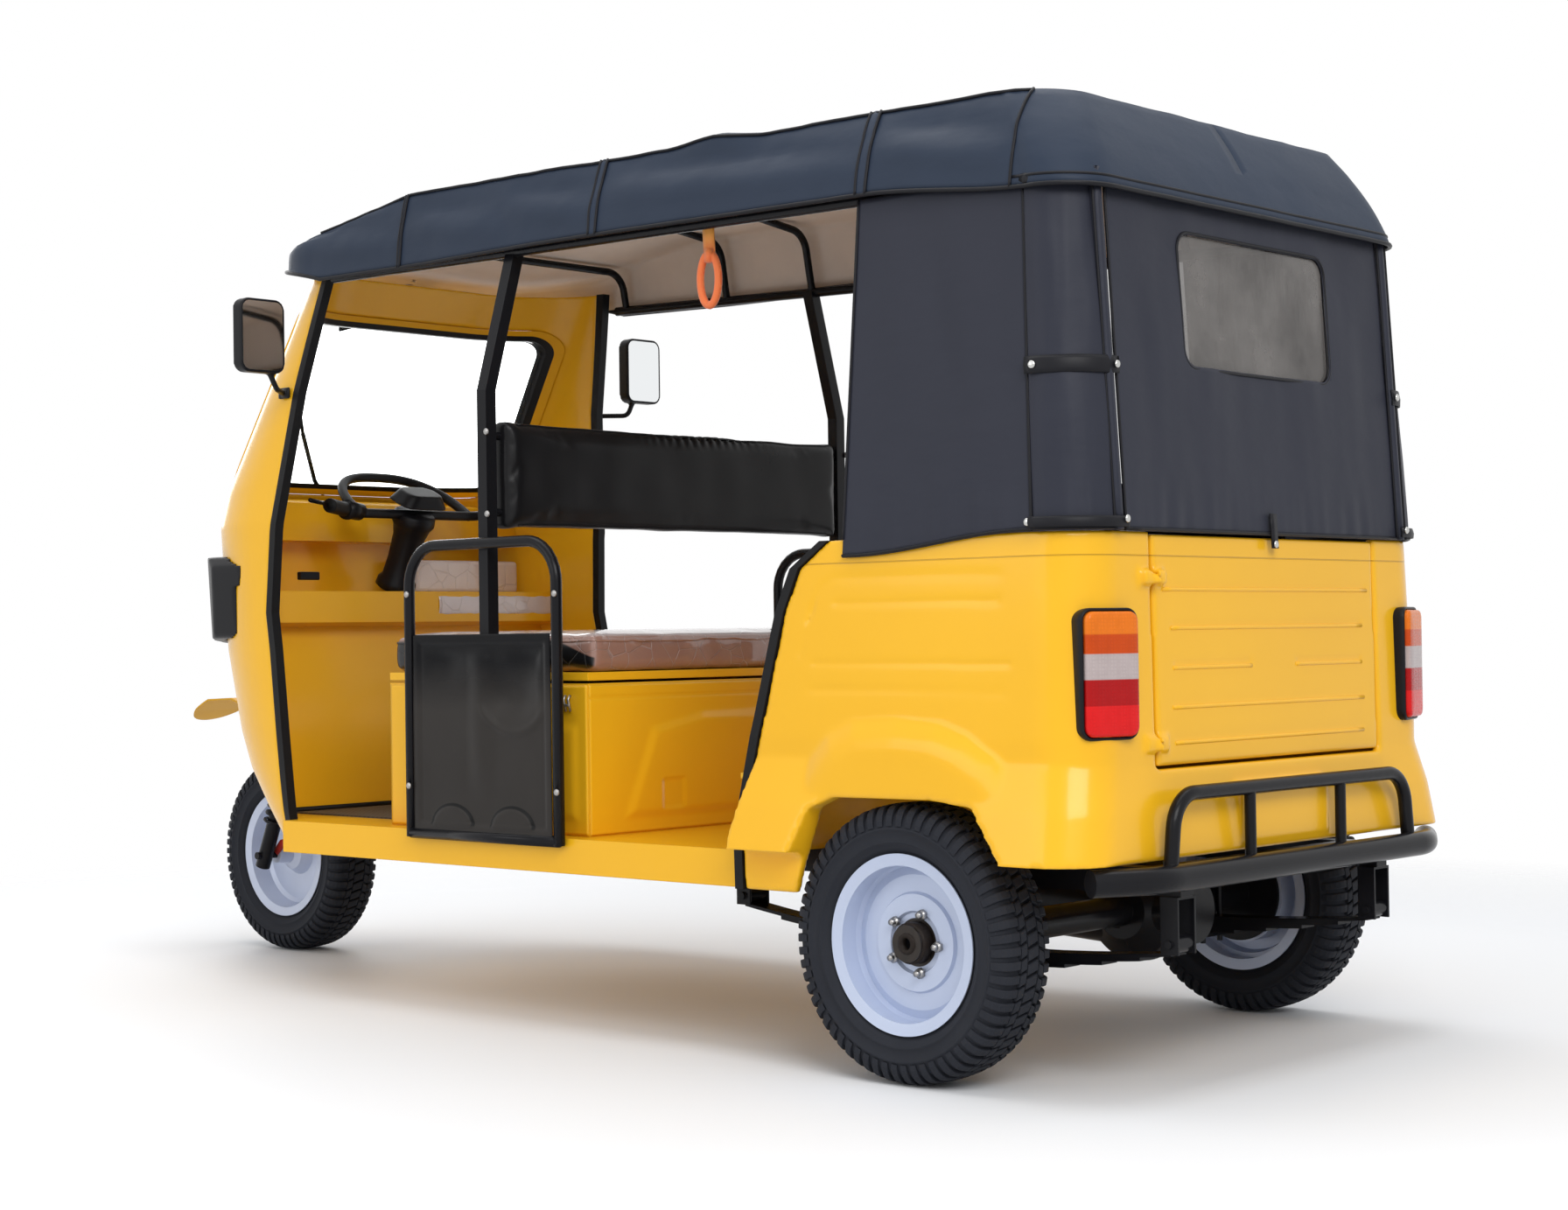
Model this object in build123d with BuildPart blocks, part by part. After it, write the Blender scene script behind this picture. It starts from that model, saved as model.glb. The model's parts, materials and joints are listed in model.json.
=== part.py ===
"""A long three-wheeled auto rickshaw with a canvas roof, modelled piece by piece.

Millimetres. +Z is up, the nose points along -Y and the vehicle's left side is +X.
The origin lies on the ground under the middle of the whole length.
Stations are distances ahead of the rear axle; fore() turns one into a Y value.
"""

import math
import os

from build123d import *

os.makedirs("parts", exist_ok=True)

# ---------------------------------------------------------------- driving sizes
WHEELBASE = 2693.0
REAR_TRACK = 1166.0
FRONT_REACH = 3134.0  # mudguard tip, ahead of the rear axle
REAR_REACH = 505.0  # back of the bumper tube, behind the rear axle
FIT = 0.3  # air between pieces that seat on one another
RUNNING = 5.0  # air round what moves

TYRE_RADIUS, TYRE_HALF = 265.0, 74.0
RIM_RADIUS, BEAD_RADIUS, RIM_HALF = 171.0, 153.0, 56.0
HUB_RADIUS, HUB_BORE = 38.0, 18.0
DRUM_RADIUS, DRUM_LENGTH = 110.0, 46.0

FLOOR_Z, FLOOR_SHEET = 420.0, 12.0
PILLAR, PILLAR_X, PILLAR_AHEAD, PILLAR_KNEE_Z = 30.0, 590.0, 1213.0, 1400.0
SILL_PROUD = 3.0  # the sill stands that far outside the pillars on it
SILL_HALF, SILL_BOTTOM, SILL_WIDTH = PILLAR_X + PILLAR / 2 + SILL_PROUD, 345.0, 24.0
FOOTWELL_FRONT = 2160.0
PANEL = 18.0  # cowl and dash walls
TUB_WALL = 20.0
TRIM_REACH, TRIM_PROUD = 22.0, 3.0  # rubber on the door edges

RAIL_HALF, RAIL_WIDTH, RAIL_DEPTH = 360.0, 40.0, 50.0
RAIL_TOP = FLOOR_Z - FLOOR_SHEET
RAIL_BOTTOM = RAIL_TOP - RAIL_DEPTH

AXLE_TUBE, DIFF_X = 32.0, -150.0
EYE_FRONT, EYE_REAR, EYE_Z, EYE_RADIUS, EYE_PIN = 640.0, -430.0, 300.0, 17.0, 8.0
LEAF, LEAF_WIDE = 7.0, 50.0
LEAVES = (1.0, 0.84, 0.64, 0.44, 0.26)  # length of each leaf as a share of the main one
HANGER_SHEET, HANGER_LONG = 5.0, 38.0

TUB_TOP, TUB_CORNER = 1030.0, 110.0
SKIRT_Z = 428.0  # lower edge of the tub behind the rear wheels
TUB_FLOOR_Z = 575.0
DOOR_BOTTOM, DOOR_TOP, DOOR_HALF = 593.0, 1025.0, 408.0
DOOR_GAP = RUNNING

CANVAS, ROOF_SKIN = 6.0, 10.0
ROOF_PITCH = 1.27  # degrees, the roof rises towards the nose
VALANCE_Z, VALANCE_DEPTH = 1656.0, 193.0
VALANCE_REAR, VALANCE_REAR_HALF = 406.0, 607.0
VALANCE_FRONT, VALANCE_FRONT_HALF = 2195.0, 500.0
# how far the roof's crease lies inside the valance's edge
CREASE_IN, CREASE_FRONT_IN, CREASE_REAR_IN = 66.0, 22.0, 106.0
CROWN_IN, CROWN_RISE = 200.0, 20.0
ROOF_REAR_CORNER, ROOF_FRONT_CORNER = 115.0, 230.0
VISOR_BREAK, VISOR_EDGE_Z = 1570.0, 1802.0  # ahead of here the roof falls to its front edge
TUBE, BOW_TUBE, POLE_TUBE = 12.0, 9.5, 11.0  # radii of the canopy's rail, bows and poles

SEAT_GAP = 25.0  # between the seat's ends and the pillars
SEAT_HALF = PILLAR_X - PILLAR / 2 - SEAT_GAP
SEAT_FRONT, SEAT_BACK = 1610.0, 940.0
SEAT_BOX_TOP, SEAT_LID, SEAT_CUSHION = 750.0, 18.0, 90.0
SEAT_WALL = 15.0

STEER_FOOT = 2715.0  # where the steering axis meets the ground
STEER_RAKE = 24.4  # degrees from vertical
STEM_RADIUS = 16.0
STEER_LOCK = 40.0

# height, half width, nose station, corner radius of the cowl's sections
COWL = (
    (345, 585, 2050, 150),
    (445, 585, 2237, 300),
    (536, 580, 2380, 400),
    (627, 575, 2441, 420),
    (830, 562, 2513, 420),
    (1140, 552, 2553, 420),
    (1230, 540, 2535, 420),
    (1778, 468, 2135, 250),
)
# station and height along the cowl's door edge, from the sill up
COWL_EDGE = ((1950, 345), (1950, 420), (2048, 920), (2038, 1120), (1994, 1460), (1915, 1778))
# height, half width, distance of the rear face behind the axle: the tub and its flared skirt
TUB = ((345, 632, 424), (650, 640, 422), (1030, 622, 414))
FLARE = ((428, 688, 444), (520, 668, 436), (610, 639, 421))
# station and height along the tub's door edge, from the sill up
TUB_EDGE = ((432, 345), (432, 458), (369, 686), (318, 893), (281, 978), (205, 1030))
# station and height round the rear wheel arch
ARCH = ((273, 345), (256, 401), (209, 513), (152, 537), (-84, 539), (-186, 527), (-264, 428))
# the wheel arch's raised band: its outline where it meets the tub, and how it narrows outwards
BULGE = ((262, 420), (256, 571), (217, 619), (179, 658), (116, 682), (6, 687), (-100, 680))
BULGE += ((-169, 659), (-236, 620), (-290, 564), (-300, 420))
BULGE_BASE = 440.0  # height that the band narrows towards
BULGE_STEPS = ((618.0, 1.15), (640.0, 1.0), (650.0, 0.93), (658.0, 0.86), (662.0, 0.78))

REAR_AXLE_Y = (FRONT_REACH - REAR_REACH) / 2


def fore(station):
    """Y of a place that lies that far ahead of the rear axle."""
    return REAR_AXLE_Y - station


def block(x, y, z, mode=Mode.ADD):
    """A box between the two values given on each axis."""
    with Locations(((x[0] + x[1]) / 2, (y[0] + y[1]) / 2, (z[0] + z[1]) / 2)):
        Box(abs(x[1] - x[0]), abs(y[1] - y[0]), abs(z[1] - z[0]), mode=mode)


def tube(points, radius, bend=0.0):
    """A round bar along straight runs joined by tangent arcs."""
    with BuildLine() as path:
        if bend:
            FilletPolyline(*points, radius=bend)
        else:
            Polyline(*points)
    with BuildSketch(Plane(origin=path.line @ 0, z_dir=path.line % 0)) as ring:
        Circle(radius)
    sweep(ring.sketch, path=path.line, transition=Transition.RIGHT)


def rod(start, end, radius, mode=Mode.ADD):
    """A straight round bar between two points."""
    start, end = Vector(*start), Vector(*end)
    with BuildSketch(Plane(origin=start, z_dir=end - start)) as ring:
        Circle(radius)
    extrude(ring.sketch, amount=(end - start).length, mode=mode)


def side_profile(points, x0, x1, mode=Mode.ADD):
    """A prism across the vehicle, its outline given by station and height."""
    with BuildSketch(Plane.YZ.offset(x0)) as outline:
        with BuildLine():
            Polyline(*[(fore(s), z) for s, z in points], close=True)
        make_face()
    extrude(outline.sketch, amount=x1 - x0, mode=mode)


def roof_z(rise, y):
    """Height on the pitched roof, rise above the rear valance's lower edge."""
    return VALANCE_Z + rise + math.tan(math.radians(ROOF_PITCH)) * (fore(-VALANCE_REAR) - y)


def steer(along, ahead, side=0.0):
    """A point beside the steering axis: along it from the ground, ahead of it, to its side."""
    rake = math.radians(STEER_RAKE)
    return (
        side,
        fore(STEER_FOOT) + along * math.sin(rake) - ahead * math.cos(rake),
        along * math.cos(rake) + ahead * math.sin(rake),
    )


def spin(profile, centre, outboard=1, mode=Mode.ADD):
    """Turns an outline of (radius, side) points about an axle across the vehicle."""
    with BuildSketch(Plane(origin=centre, x_dir=(0, 0, 1), z_dir=(0, outboard, 0))) as section:
        with BuildLine():
            Polyline(*profile, close=True)
        make_face()
    revolve(section.sketch, axis=Axis(centre, (1, 0, 0)), mode=mode)


def save(builder, label):
    """Labels a finished piece and writes it."""
    builder.part.label = label
    export_step(builder.part, f"parts/{label}.step")


# ---------------------------------------------------------------- forms that pieces share
CAB_BACK = 1800.0  # the cowl's sections run back to here before its door edge is cut
TUB_FRONT = 500.0  # and the tub's run forward to here


def cowl_form(inset):
    """The solid inside the cowl's skin, drawn in by inset."""
    with BuildPart() as form:
        for height, half, nose, corner in COWL:
            front, back = fore(nose - inset), fore(CAB_BACK)
            with BuildSketch(Plane.XY.offset(height)) as section:
                with Locations((0, (front + back) / 2)):
                    Rectangle(2 * (half - inset), back - front)
                fillet(section.vertices().group_by(Axis.Y)[0], corner - inset)
        loft(ruled=True)
    return form.part


def tub_form(sections, inset, top=None):
    """The solid inside the tub's skin or its flared skirt, drawn in by inset."""
    with BuildPart() as form:
        for height, half, rear in sections:
            front, back = fore(TUB_FRONT), fore(-rear) - inset
            with BuildSketch(Plane.XY.offset(height)) as section:
                with Locations((0, (front + back) / 2)):
                    Rectangle(2 * (half - inset), back - front)
                fillet(section.vertices().group_by(Axis.Y)[-1], TUB_CORNER - inset)
        loft(ruled=True)
    return form.part


cowl_skin = cowl_form(0)
cowl_inside = cowl_form(PANEL)
tub_skin = tub_form(TUB, 0)
tub_inside = tub_form(TUB, TUB_WALL)
flare_skin = tub_form(FLARE, 0)

# ---------------------------------------------------------------- wheels
# radius and distance from the wheel's middle, outboard positive
TYRE_PROFILE = (
    (BEAD_RADIUS, -RIM_HALF + 8),
    (RIM_RADIUS + 4, -RIM_HALF + 2),
    (RIM_RADIUS + 34, -TYRE_HALF),
    (TYRE_RADIUS - 26, -TYRE_HALF + 3),
    (TYRE_RADIUS - 5, -TYRE_HALF + 18),
    (TYRE_RADIUS, -TYRE_HALF + 38),
    (TYRE_RADIUS, TYRE_HALF - 38),
    (TYRE_RADIUS - 5, TYRE_HALF - 18),
    (TYRE_RADIUS - 26, TYRE_HALF - 3),
    (RIM_RADIUS + 34, TYRE_HALF),
    (RIM_RADIUS + 4, RIM_HALF - 2),
    (BEAD_RADIUS, RIM_HALF - 8),
)
DISC_AT, DISC_SHEET = 10.0, 6.0  # the wheel disc's outboard face and thickness
RIM_PROFILE = (
    (HUB_BORE + FIT, DISC_AT - 60),
    (DRUM_RADIUS, DISC_AT - 60),
    (DRUM_RADIUS, DISC_AT - DISC_SHEET),
    (132, DISC_AT - DISC_SHEET),
    (138, -18),
    (BEAD_RADIUS - 5, -18),
    (BEAD_RADIUS - 5, -RIM_HALF),
    (RIM_RADIUS, -RIM_HALF - 4),
    (RIM_RADIUS, -RIM_HALF - 1),
    (BEAD_RADIUS - FIT, -RIM_HALF + 5),
    (BEAD_RADIUS - FIT, RIM_HALF - 5),
    (RIM_RADIUS, RIM_HALF + 1),
    (RIM_RADIUS, RIM_HALF + 4),
    (BEAD_RADIUS - 5, RIM_HALF),
    (BEAD_RADIUS - 5, 16),
    (144, 4),
    (128, DISC_AT),
    (96, DISC_AT),
    (92, DISC_AT + 7),
    (60, DISC_AT + 7),
    (56, DISC_AT),
    (HUB_RADIUS, DISC_AT),
    (HUB_RADIUS - 3, DISC_AT + 32),
    (HUB_BORE + FIT, DISC_AT + 32),
)
FORK_LEG, FORK_LEG_HALF = 20.0, 116.0
FRONT_HUB_HALF = FORK_LEG_HALF - FORK_LEG - RUNNING
FRONT_AXLE = 10.0
FRONT_RIM_PROFILE = (
    (FRONT_AXLE + FIT, -FRONT_HUB_HALF + 8),
    (24, -FRONT_HUB_HALF + 8),
    (26, -40),
    (DRUM_RADIUS - 20, -36),
    (DRUM_RADIUS - 20, -4),
    (BEAD_RADIUS - 20, -4),
    (BEAD_RADIUS - 12, -RIM_HALF + 4),
    (BEAD_RADIUS - 5, -RIM_HALF),
    (RIM_RADIUS, -RIM_HALF - 4),
    (RIM_RADIUS, -RIM_HALF - 1),
    (BEAD_RADIUS - FIT, -RIM_HALF + 5),
    (BEAD_RADIUS - FIT, RIM_HALF - 5),
    (RIM_RADIUS, RIM_HALF + 1),
    (RIM_RADIUS, RIM_HALF + 4),
    (BEAD_RADIUS - 5, RIM_HALF),
    (BEAD_RADIUS - 14, 10),
    (BEAD_RADIUS - 24, 2),
    (60, 2),
    (44, 30),
    (26, 40),
    (24, FRONT_HUB_HALF - 8),
    (FRONT_AXLE + FIT, FRONT_HUB_HALF - 8),
)

WHEELS = {  # name: centre of the wheel and the side it faces
    "rear_left": ((REAR_TRACK / 2, fore(0), TYRE_RADIUS), 1),
    "rear_right": ((-REAR_TRACK / 2, fore(0), TYRE_RADIUS), -1),
    "front": ((0, fore(WHEELBASE), TYRE_RADIUS), 1),
}
for wheel, (centre, outboard) in WHEELS.items():
    with BuildPart() as tyre:
        spin(TYRE_PROFILE, centre, outboard)
    save(tyre, f"tyre_{wheel}")
    with BuildPart() as rim:
        spin(RIM_PROFILE if wheel != "front" else FRONT_RIM_PROFILE, centre, outboard)
    save(rim, f"rim_{wheel}")

# ---------------------------------------------------------------- chassis frame
RAIL_AHEAD, RAIL_BEHIND = 2225.0, 450.0
CROSSMEMBERS = (2205.0, 1640.0, PILLAR_AHEAD, 820.0, 440.0, -380.0)
HEAD_LOW, HEAD_HIGH, HEAD_RADIUS = 632.0, 860.0, 27.0
NECK_FOOT_X, NECK_HEAD_X, NECK_AT, NECK_TUBE = 90.0, 20.0, 700.0, 20.0
CROSSMEMBER_HALF = 20.0
FOOT_Z = (RAIL_BOTTOM + RAIL_TOP) / 2
SPRING_X, SPRING_SEAT = RAIL_HALF, TYRE_RADIUS - AXLE_TUBE - FIT
SPRING_SAG = EYE_Z - EYE_RADIUS - SPRING_SEAT
SPRING_BOW = (EYE_FRONT**2 + SPRING_SAG**2) / (2 * SPRING_SAG)


def eye_z(station):
    """Height of a spring eye's centre over its end of the main leaf."""
    return SPRING_SEAT + SPRING_BOW - math.sqrt(SPRING_BOW**2 - station**2) + EYE_RADIUS - 2


def cross_rod(x, station, half, radius, mode=Mode.ADD):
    """A round rod across the vehicle through a spring eye, reaching half each way from x."""
    y, z = fore(station), eye_z(station)
    rod((x - half, y, z), (x + half, y, z), radius, mode)


with BuildPart() as chassis_frame:
    for side in (-1, 1):
        block(
            (side * RAIL_HALF - RAIL_WIDTH / 2, side * RAIL_HALF + RAIL_WIDTH / 2),
            (fore(RAIL_AHEAD), fore(-RAIL_BEHIND)),
            (RAIL_BOTTOM, RAIL_TOP),
        )
        # hangers for the springs: a plate under the rail, two cheeks and the pin
        cheek = LEAF_WIDE / 2 + FIT + HANGER_SHEET
        for station in (EYE_FRONT, EYE_REAR):
            x, y = side * SPRING_X, fore(station)
            ends = (y - HANGER_LONG / 2, y + HANGER_LONG / 2)
            block((x - cheek, x + cheek), ends, (RAIL_BOTTOM - HANGER_SHEET, RAIL_BOTTOM))
            for low in (x - cheek, x + cheek - HANGER_SHEET):
                drop = (eye_z(station) - EYE_RADIUS - 2, RAIL_BOTTOM)
                block((low, low + HANGER_SHEET), ends, drop)
            cross_rod(x, station, cheek + 6, EYE_PIN)
    for station in CROSSMEMBERS:
        block(
            (-RAIL_HALF, RAIL_HALF),
            (fore(station) - CROSSMEMBER_HALF, fore(station) + CROSSMEMBER_HALF),
            (RAIL_BOTTOM, RAIL_TOP),
        )
    # twin neck tubes rise from the front crossmember to the steering head
    for side in (-1, 1):
        foot = (side * NECK_FOOT_X, fore(CROSSMEMBERS[0]), FOOT_Z)
        rod(foot, steer(NECK_AT, 0, side * NECK_HEAD_X), NECK_TUBE)
    rod(steer(HEAD_LOW, 0), steer(HEAD_HIGH, 0), HEAD_RADIUS)
    rod(steer(HEAD_LOW - 1, 0), steer(HEAD_HIGH + 1, 0), STEM_RADIUS + FIT, Mode.SUBTRACT)
save(chassis_frame, "chassis_frame")

# ---------------------------------------------------------------- floor
FLOOR_BACK = TUB_EDGE[0][0]
with BuildPart() as footwell:
    block(
        (-COWL[0][1], COWL[0][1]),
        (fore(FOOTWELL_FRONT), fore(COWL_EDGE[0][0]) + FIT),
        (FLOOR_Z - FLOOR_SHEET, FLOOR_Z),
    )
    add(cowl_form(PANEL + TRIM_PROUD + 1), mode=Mode.INTERSECT)
with BuildPart() as floor_deck:
    block(
        (-SILL_HALF, SILL_HALF),
        (fore(COWL_EDGE[0][0]) + FIT, fore(FLOOR_BACK) - FIT),
        (FLOOR_Z - FLOOR_SHEET, FLOOR_Z),
    )
    add(footwell.part)
    for side in (-1, 1):
        block(
            (side * (SILL_HALF - SILL_WIDTH), side * SILL_HALF),
            (fore(COWL_EDGE[0][0]) + FIT, fore(FLOOR_BACK) - FIT),
            (SILL_BOTTOM, FLOOR_Z - FLOOR_SHEET),
        )
save(floor_deck, "floor_deck")

MAT = 4.0
with BuildPart() as floor_mat:
    block((-440, 440), (fore(2120), fore(SEAT_FRONT + 12)), (FLOOR_Z, FLOOR_Z + MAT))
save(floor_mat, "floor_mat")

# ---------------------------------------------------------------- front cowl
# height and half width of the windscreen opening, which the cowl is cut to
SCREEN_LOW, SCREEN_HIGH = 1248.0, 1690.0
SCREEN_LOW_HALF, SCREEN_HIGH_HALF, SCREEN_CORNER = 462.0, 436.0, 70.0
SCREEN_SEAL = 26.0
GLASS = 6.0
WHEEL_ARCH_HALF, WHEEL_ARCH_TOP, WHEEL_ARCH_FOOT = 300.0, 705.0, 430.0


def screen_prism(inset):
    """The windscreen's outline run fore and aft through the cowl."""
    with BuildPart() as prism:
        with BuildSketch(Plane.XZ.offset(-fore(2050))) as outline:
            with BuildLine():
                Polyline(
                    (-SCREEN_LOW_HALF + inset, SCREEN_LOW + inset),
                    (SCREEN_LOW_HALF - inset, SCREEN_LOW + inset),
                    (SCREEN_HIGH_HALF - inset, SCREEN_HIGH - inset),
                    (-SCREEN_HIGH_HALF + inset, SCREEN_HIGH - inset),
                    close=True,
                )
            make_face()
            fillet(outline.vertices(), SCREEN_CORNER - inset)
        extrude(amount=700)
    return prism.part


DOOR_VOID = ((1600, 1900), (1600, 300))


def edge_prism(edge, void, shift=0.0):
    """Everything on the open side of a door edge, the edge moved by shift."""
    with BuildPart() as prism:
        moved = tuple((s + shift, z) for s, z in edge)
        bottom, top = moved[0][0], moved[-1][0]
        side_profile(moved + ((top, 1900),) + void + ((bottom, 300),), -800, 800)
    return prism.part


screen_outer, screen_inner = screen_prism(0), screen_prism(SCREEN_SEAL)
cab_door = edge_prism(COWL_EDGE, DOOR_VOID)
cab_door_trimmed = edge_prism(COWL_EDGE, DOOR_VOID, TRIM_REACH)
with BuildPart() as wheel_arch:
    with BuildSketch(Plane.XZ.offset(-fore(2010))) as outline:
        with BuildLine():
            Polyline(
                (-WHEEL_ARCH_FOOT, 300),
                (-WHEEL_ARCH_FOOT, FLOOR_Z),
                (-WHEEL_ARCH_HALF, 540),
                (-WHEEL_ARCH_HALF, WHEEL_ARCH_TOP),
                (WHEEL_ARCH_HALF, WHEEL_ARCH_TOP),
                (WHEEL_ARCH_HALF, 540),
                (WHEEL_ARCH_FOOT, FLOOR_Z),
                (WHEEL_ARCH_FOOT, 300),
                close=True,
            )
        make_face()
        fillet(outline.vertices().group_by(Axis.Y)[-1], 110)
    extrude(amount=900)
with BuildPart() as front_cowl:
    add(cowl_skin)
    add(cowl_inside, mode=Mode.SUBTRACT)
    add(cab_door_trimmed, mode=Mode.SUBTRACT)
    add(screen_outer, mode=Mode.SUBTRACT)
    add(wheel_arch.part, mode=Mode.SUBTRACT)
save(front_cowl, "front_cowl")

with BuildPart() as windscreen_seal:
    add(cowl_form(-TRIM_PROUD))
    add(cowl_form(PANEL + TRIM_PROUD), mode=Mode.SUBTRACT)
    add(screen_outer, mode=Mode.INTERSECT)
    add(screen_inner, mode=Mode.SUBTRACT)
save(windscreen_seal, "windscreen_seal")

with BuildPart() as windscreen_glass:
    add(cowl_form(GLASS))
    add(cowl_form(2 * GLASS), mode=Mode.SUBTRACT)
    add(screen_prism(SCREEN_SEAL + FIT), mode=Mode.INTERSECT)
save(windscreen_glass, "windscreen_glass")

with BuildPart() as cowl_trim:
    add(cowl_form(-TRIM_PROUD))
    add(cowl_form(PANEL + TRIM_PROUD), mode=Mode.SUBTRACT)
    add(cab_door_trimmed, mode=Mode.INTERSECT)
    add(cab_door, mode=Mode.SUBTRACT)
save(cowl_trim, "cowl_edge_trim")

# ---------------------------------------------------------------- dash
DASH_SHEET = 12.0
DASH = (  # station and height from the floor up to the foot of the windscreen
    (FOOTWELL_FRONT + 8, FLOOR_Z + 8),
    (2262, 890),
    (2205, 902),
    (2205, 972),
    (2400, 972),
    (2400, 1118),
    (2330, 1118),
    (2330, 1206),
    (2460, 1222),
)
COLUMN_HOLE = 40.0
with BuildPart() as dash_panel:
    with BuildSketch(Plane.YZ.offset(-560)) as strip:
        with BuildLine() as line:
            Polyline(*[(fore(s), z) for s, z in DASH])
        trace(line_width=DASH_SHEET)
    extrude(amount=1120)
    add(cowl_form(PANEL + 1), mode=Mode.INTERSECT)
    add(edge_prism(COWL_EDGE, DOOR_VOID, TRIM_REACH + 8), mode=Mode.SUBTRACT)
    rod(steer(700, 0), steer(1300, 0), COLUMN_HOLE, Mode.SUBTRACT)
save(dash_panel, "dash_panel")

# ---------------------------------------------------------------- headlamps
LAMP_PAD, LAMP_LENS = 38.0, 62.0
LAMP_X, LAMP_Z = 365.0, 955.0
with BuildPart() as lamp_zone:
    with BuildSketch(Plane.XZ.offset(-fore(2150))) as outline:
        with BuildLine():
            Polyline((270, 838), (545, 860), (552, 1040), (530, 1066), (290, 1062), close=True)
        make_face()
        fillet(outline.vertices(), 14)
    extrude(amount=600)
    mirror(about=Plane.YZ)


def lens_rods(radius):
    """Two rods fore and aft through the headlamps' middles."""
    with BuildPart() as rods:
        for side in (-1, 1):
            rod((side * LAMP_X, fore(2300), LAMP_Z), (side * LAMP_X, fore(2700), LAMP_Z), radius)
    return rods.part


with BuildPart() as headlamp_housings:
    add(cowl_form(-LAMP_PAD))
    add(lamp_zone.part, mode=Mode.INTERSECT)
    add(cowl_form(-FIT), mode=Mode.SUBTRACT)
    add(lens_rods(LAMP_LENS), mode=Mode.SUBTRACT)
save(headlamp_housings, "headlamp_housings")
with BuildPart() as headlamp_lenses:
    add(cowl_form(-LAMP_PAD - 4))
    add(cowl_form(-FIT), mode=Mode.SUBTRACT)
    add(lens_rods(LAMP_LENS - FIT), mode=Mode.INTERSECT)
save(headlamp_lenses, "headlamp_lenses")

# ---------------------------------------------------------------- rear body tub

def tub_door(shift=0.0):
    """Everything ahead of the tub's door edge, the edge moved back by shift."""
    with BuildPart() as prism:
        moved = tuple((s - shift, z) for s, z in TUB_EDGE)
        ahead = ((moved[-1][0], 1200), (700, 1200), (700, 300), (moved[0][0], 300))
        side_profile(moved + ahead, -800, 800)
    return prism.part


with BuildPart() as arch_bulge:
    for half, share in BULGE_STEPS:
        with BuildSketch(Plane.YZ.offset(half)) as outline:
            with BuildLine():
                Polyline(
                    *[(fore(s * share), BULGE_BASE + (z - BULGE_BASE) * share) for s, z in BULGE],
                    close=True,
                )
            make_face()
    loft(ruled=True)
    mirror(about=Plane.YZ)

LAMP_IN, LAMP_OUT, LAMP_LOW, LAMP_HIGH = 467.0, 625.0, 655.0, 886.0
LAMP_TURN, LAMP_DEPTH = 9.0, 46.0
LAMP_FACE = 412.0  # behind the axle, at the middle of the lamp


def lamp_block(side, grow, depth, face, corner=16.0):
    """A rounded block where a tail lamp sits, its back turned a little outwards."""
    with BuildPart() as lamp:
        place = Plane(
            origin=(side * (LAMP_IN + LAMP_OUT) / 2, fore(-LAMP_FACE), (LAMP_LOW + LAMP_HIGH) / 2),
            x_dir=(1, 0, 0),
            z_dir=(0, 1, 0),
        ).rotated((0, -side * LAMP_TURN, 0))
        with BuildSketch(place.offset(face)):
            RectangleRounded(
                LAMP_OUT - LAMP_IN + 2 * grow, LAMP_HIGH - LAMP_LOW + 2 * grow, corner + grow
            )
        extrude(amount=-depth)
    return lamp.part


PLATE_HALF, PLATE_LOW, PLATE_HIGH, PLATE_PROUD = 160.0, 446.0, 556.0, 4.0
PLATE_HOLE, PLATE_HOLES_APART = 3.5, 120.0
PLATE_FACE = FLARE[0][2] + PLATE_PROUD
RIB_DEPTH, RIB_WIDTH = 3.0, 9.0
GROOVE_REACH = 40.0
# station and height along each groove pressed into the tub's sides; the top one turns down
SIDE_GROOVES = (
    ((-235, 954), (164, 958), (196, 944), (216, 918), (243, 843), (253, 804)),
    ((-235, 907), (169, 909)),
    ((-263, 791), (225, 794)),
    ((-250, 739), (232, 743)),
)
# height and the ends of each bead pressed into the tailgate
GATE_BEADS = (
    (931, -375, 375),
    (859, -350, 350),
    (785, 75, 345),
    (785, -345, -90),
    (712, -350, 350),
    (646, -345, 345),
)


def tub_half(height):
    """The tub's half width at a height between its upper sections."""
    low, high = TUB[1], TUB[2]
    share = (height - low[0]) / (high[0] - low[0])
    return low[1] + share * (high[1] - low[1])


HINGE_X = DOOR_HALF + 3.0
HINGE_PIN, HINGE_BARREL, HINGE_OUT = 3.0, 7.0, 12.0
HINGE_LENGTH, HINGE_ARM = 26.0, 4.0
HINGE_PAD = (10.0, 36.0)  # a hinge pad's near and far edge from the pin
HINGES_Z = (640.0, 945.0)
GATE_HALF = DOOR_HALF - DOOR_GAP
GATE_LOW, GATE_HIGH = DOOR_BOTTOM + DOOR_GAP, DOOR_TOP
HINGE_Y = fore(-TUB[1][2]) + HINGE_OUT


def tub_rear(height):
    """How far behind the axle the tub's rear face is, at a height between its upper sections."""
    low, high = TUB[1], TUB[2]
    share = (height - low[0]) / (high[0] - low[0])
    return low[2] + share * (high[2] - low[2])


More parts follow.
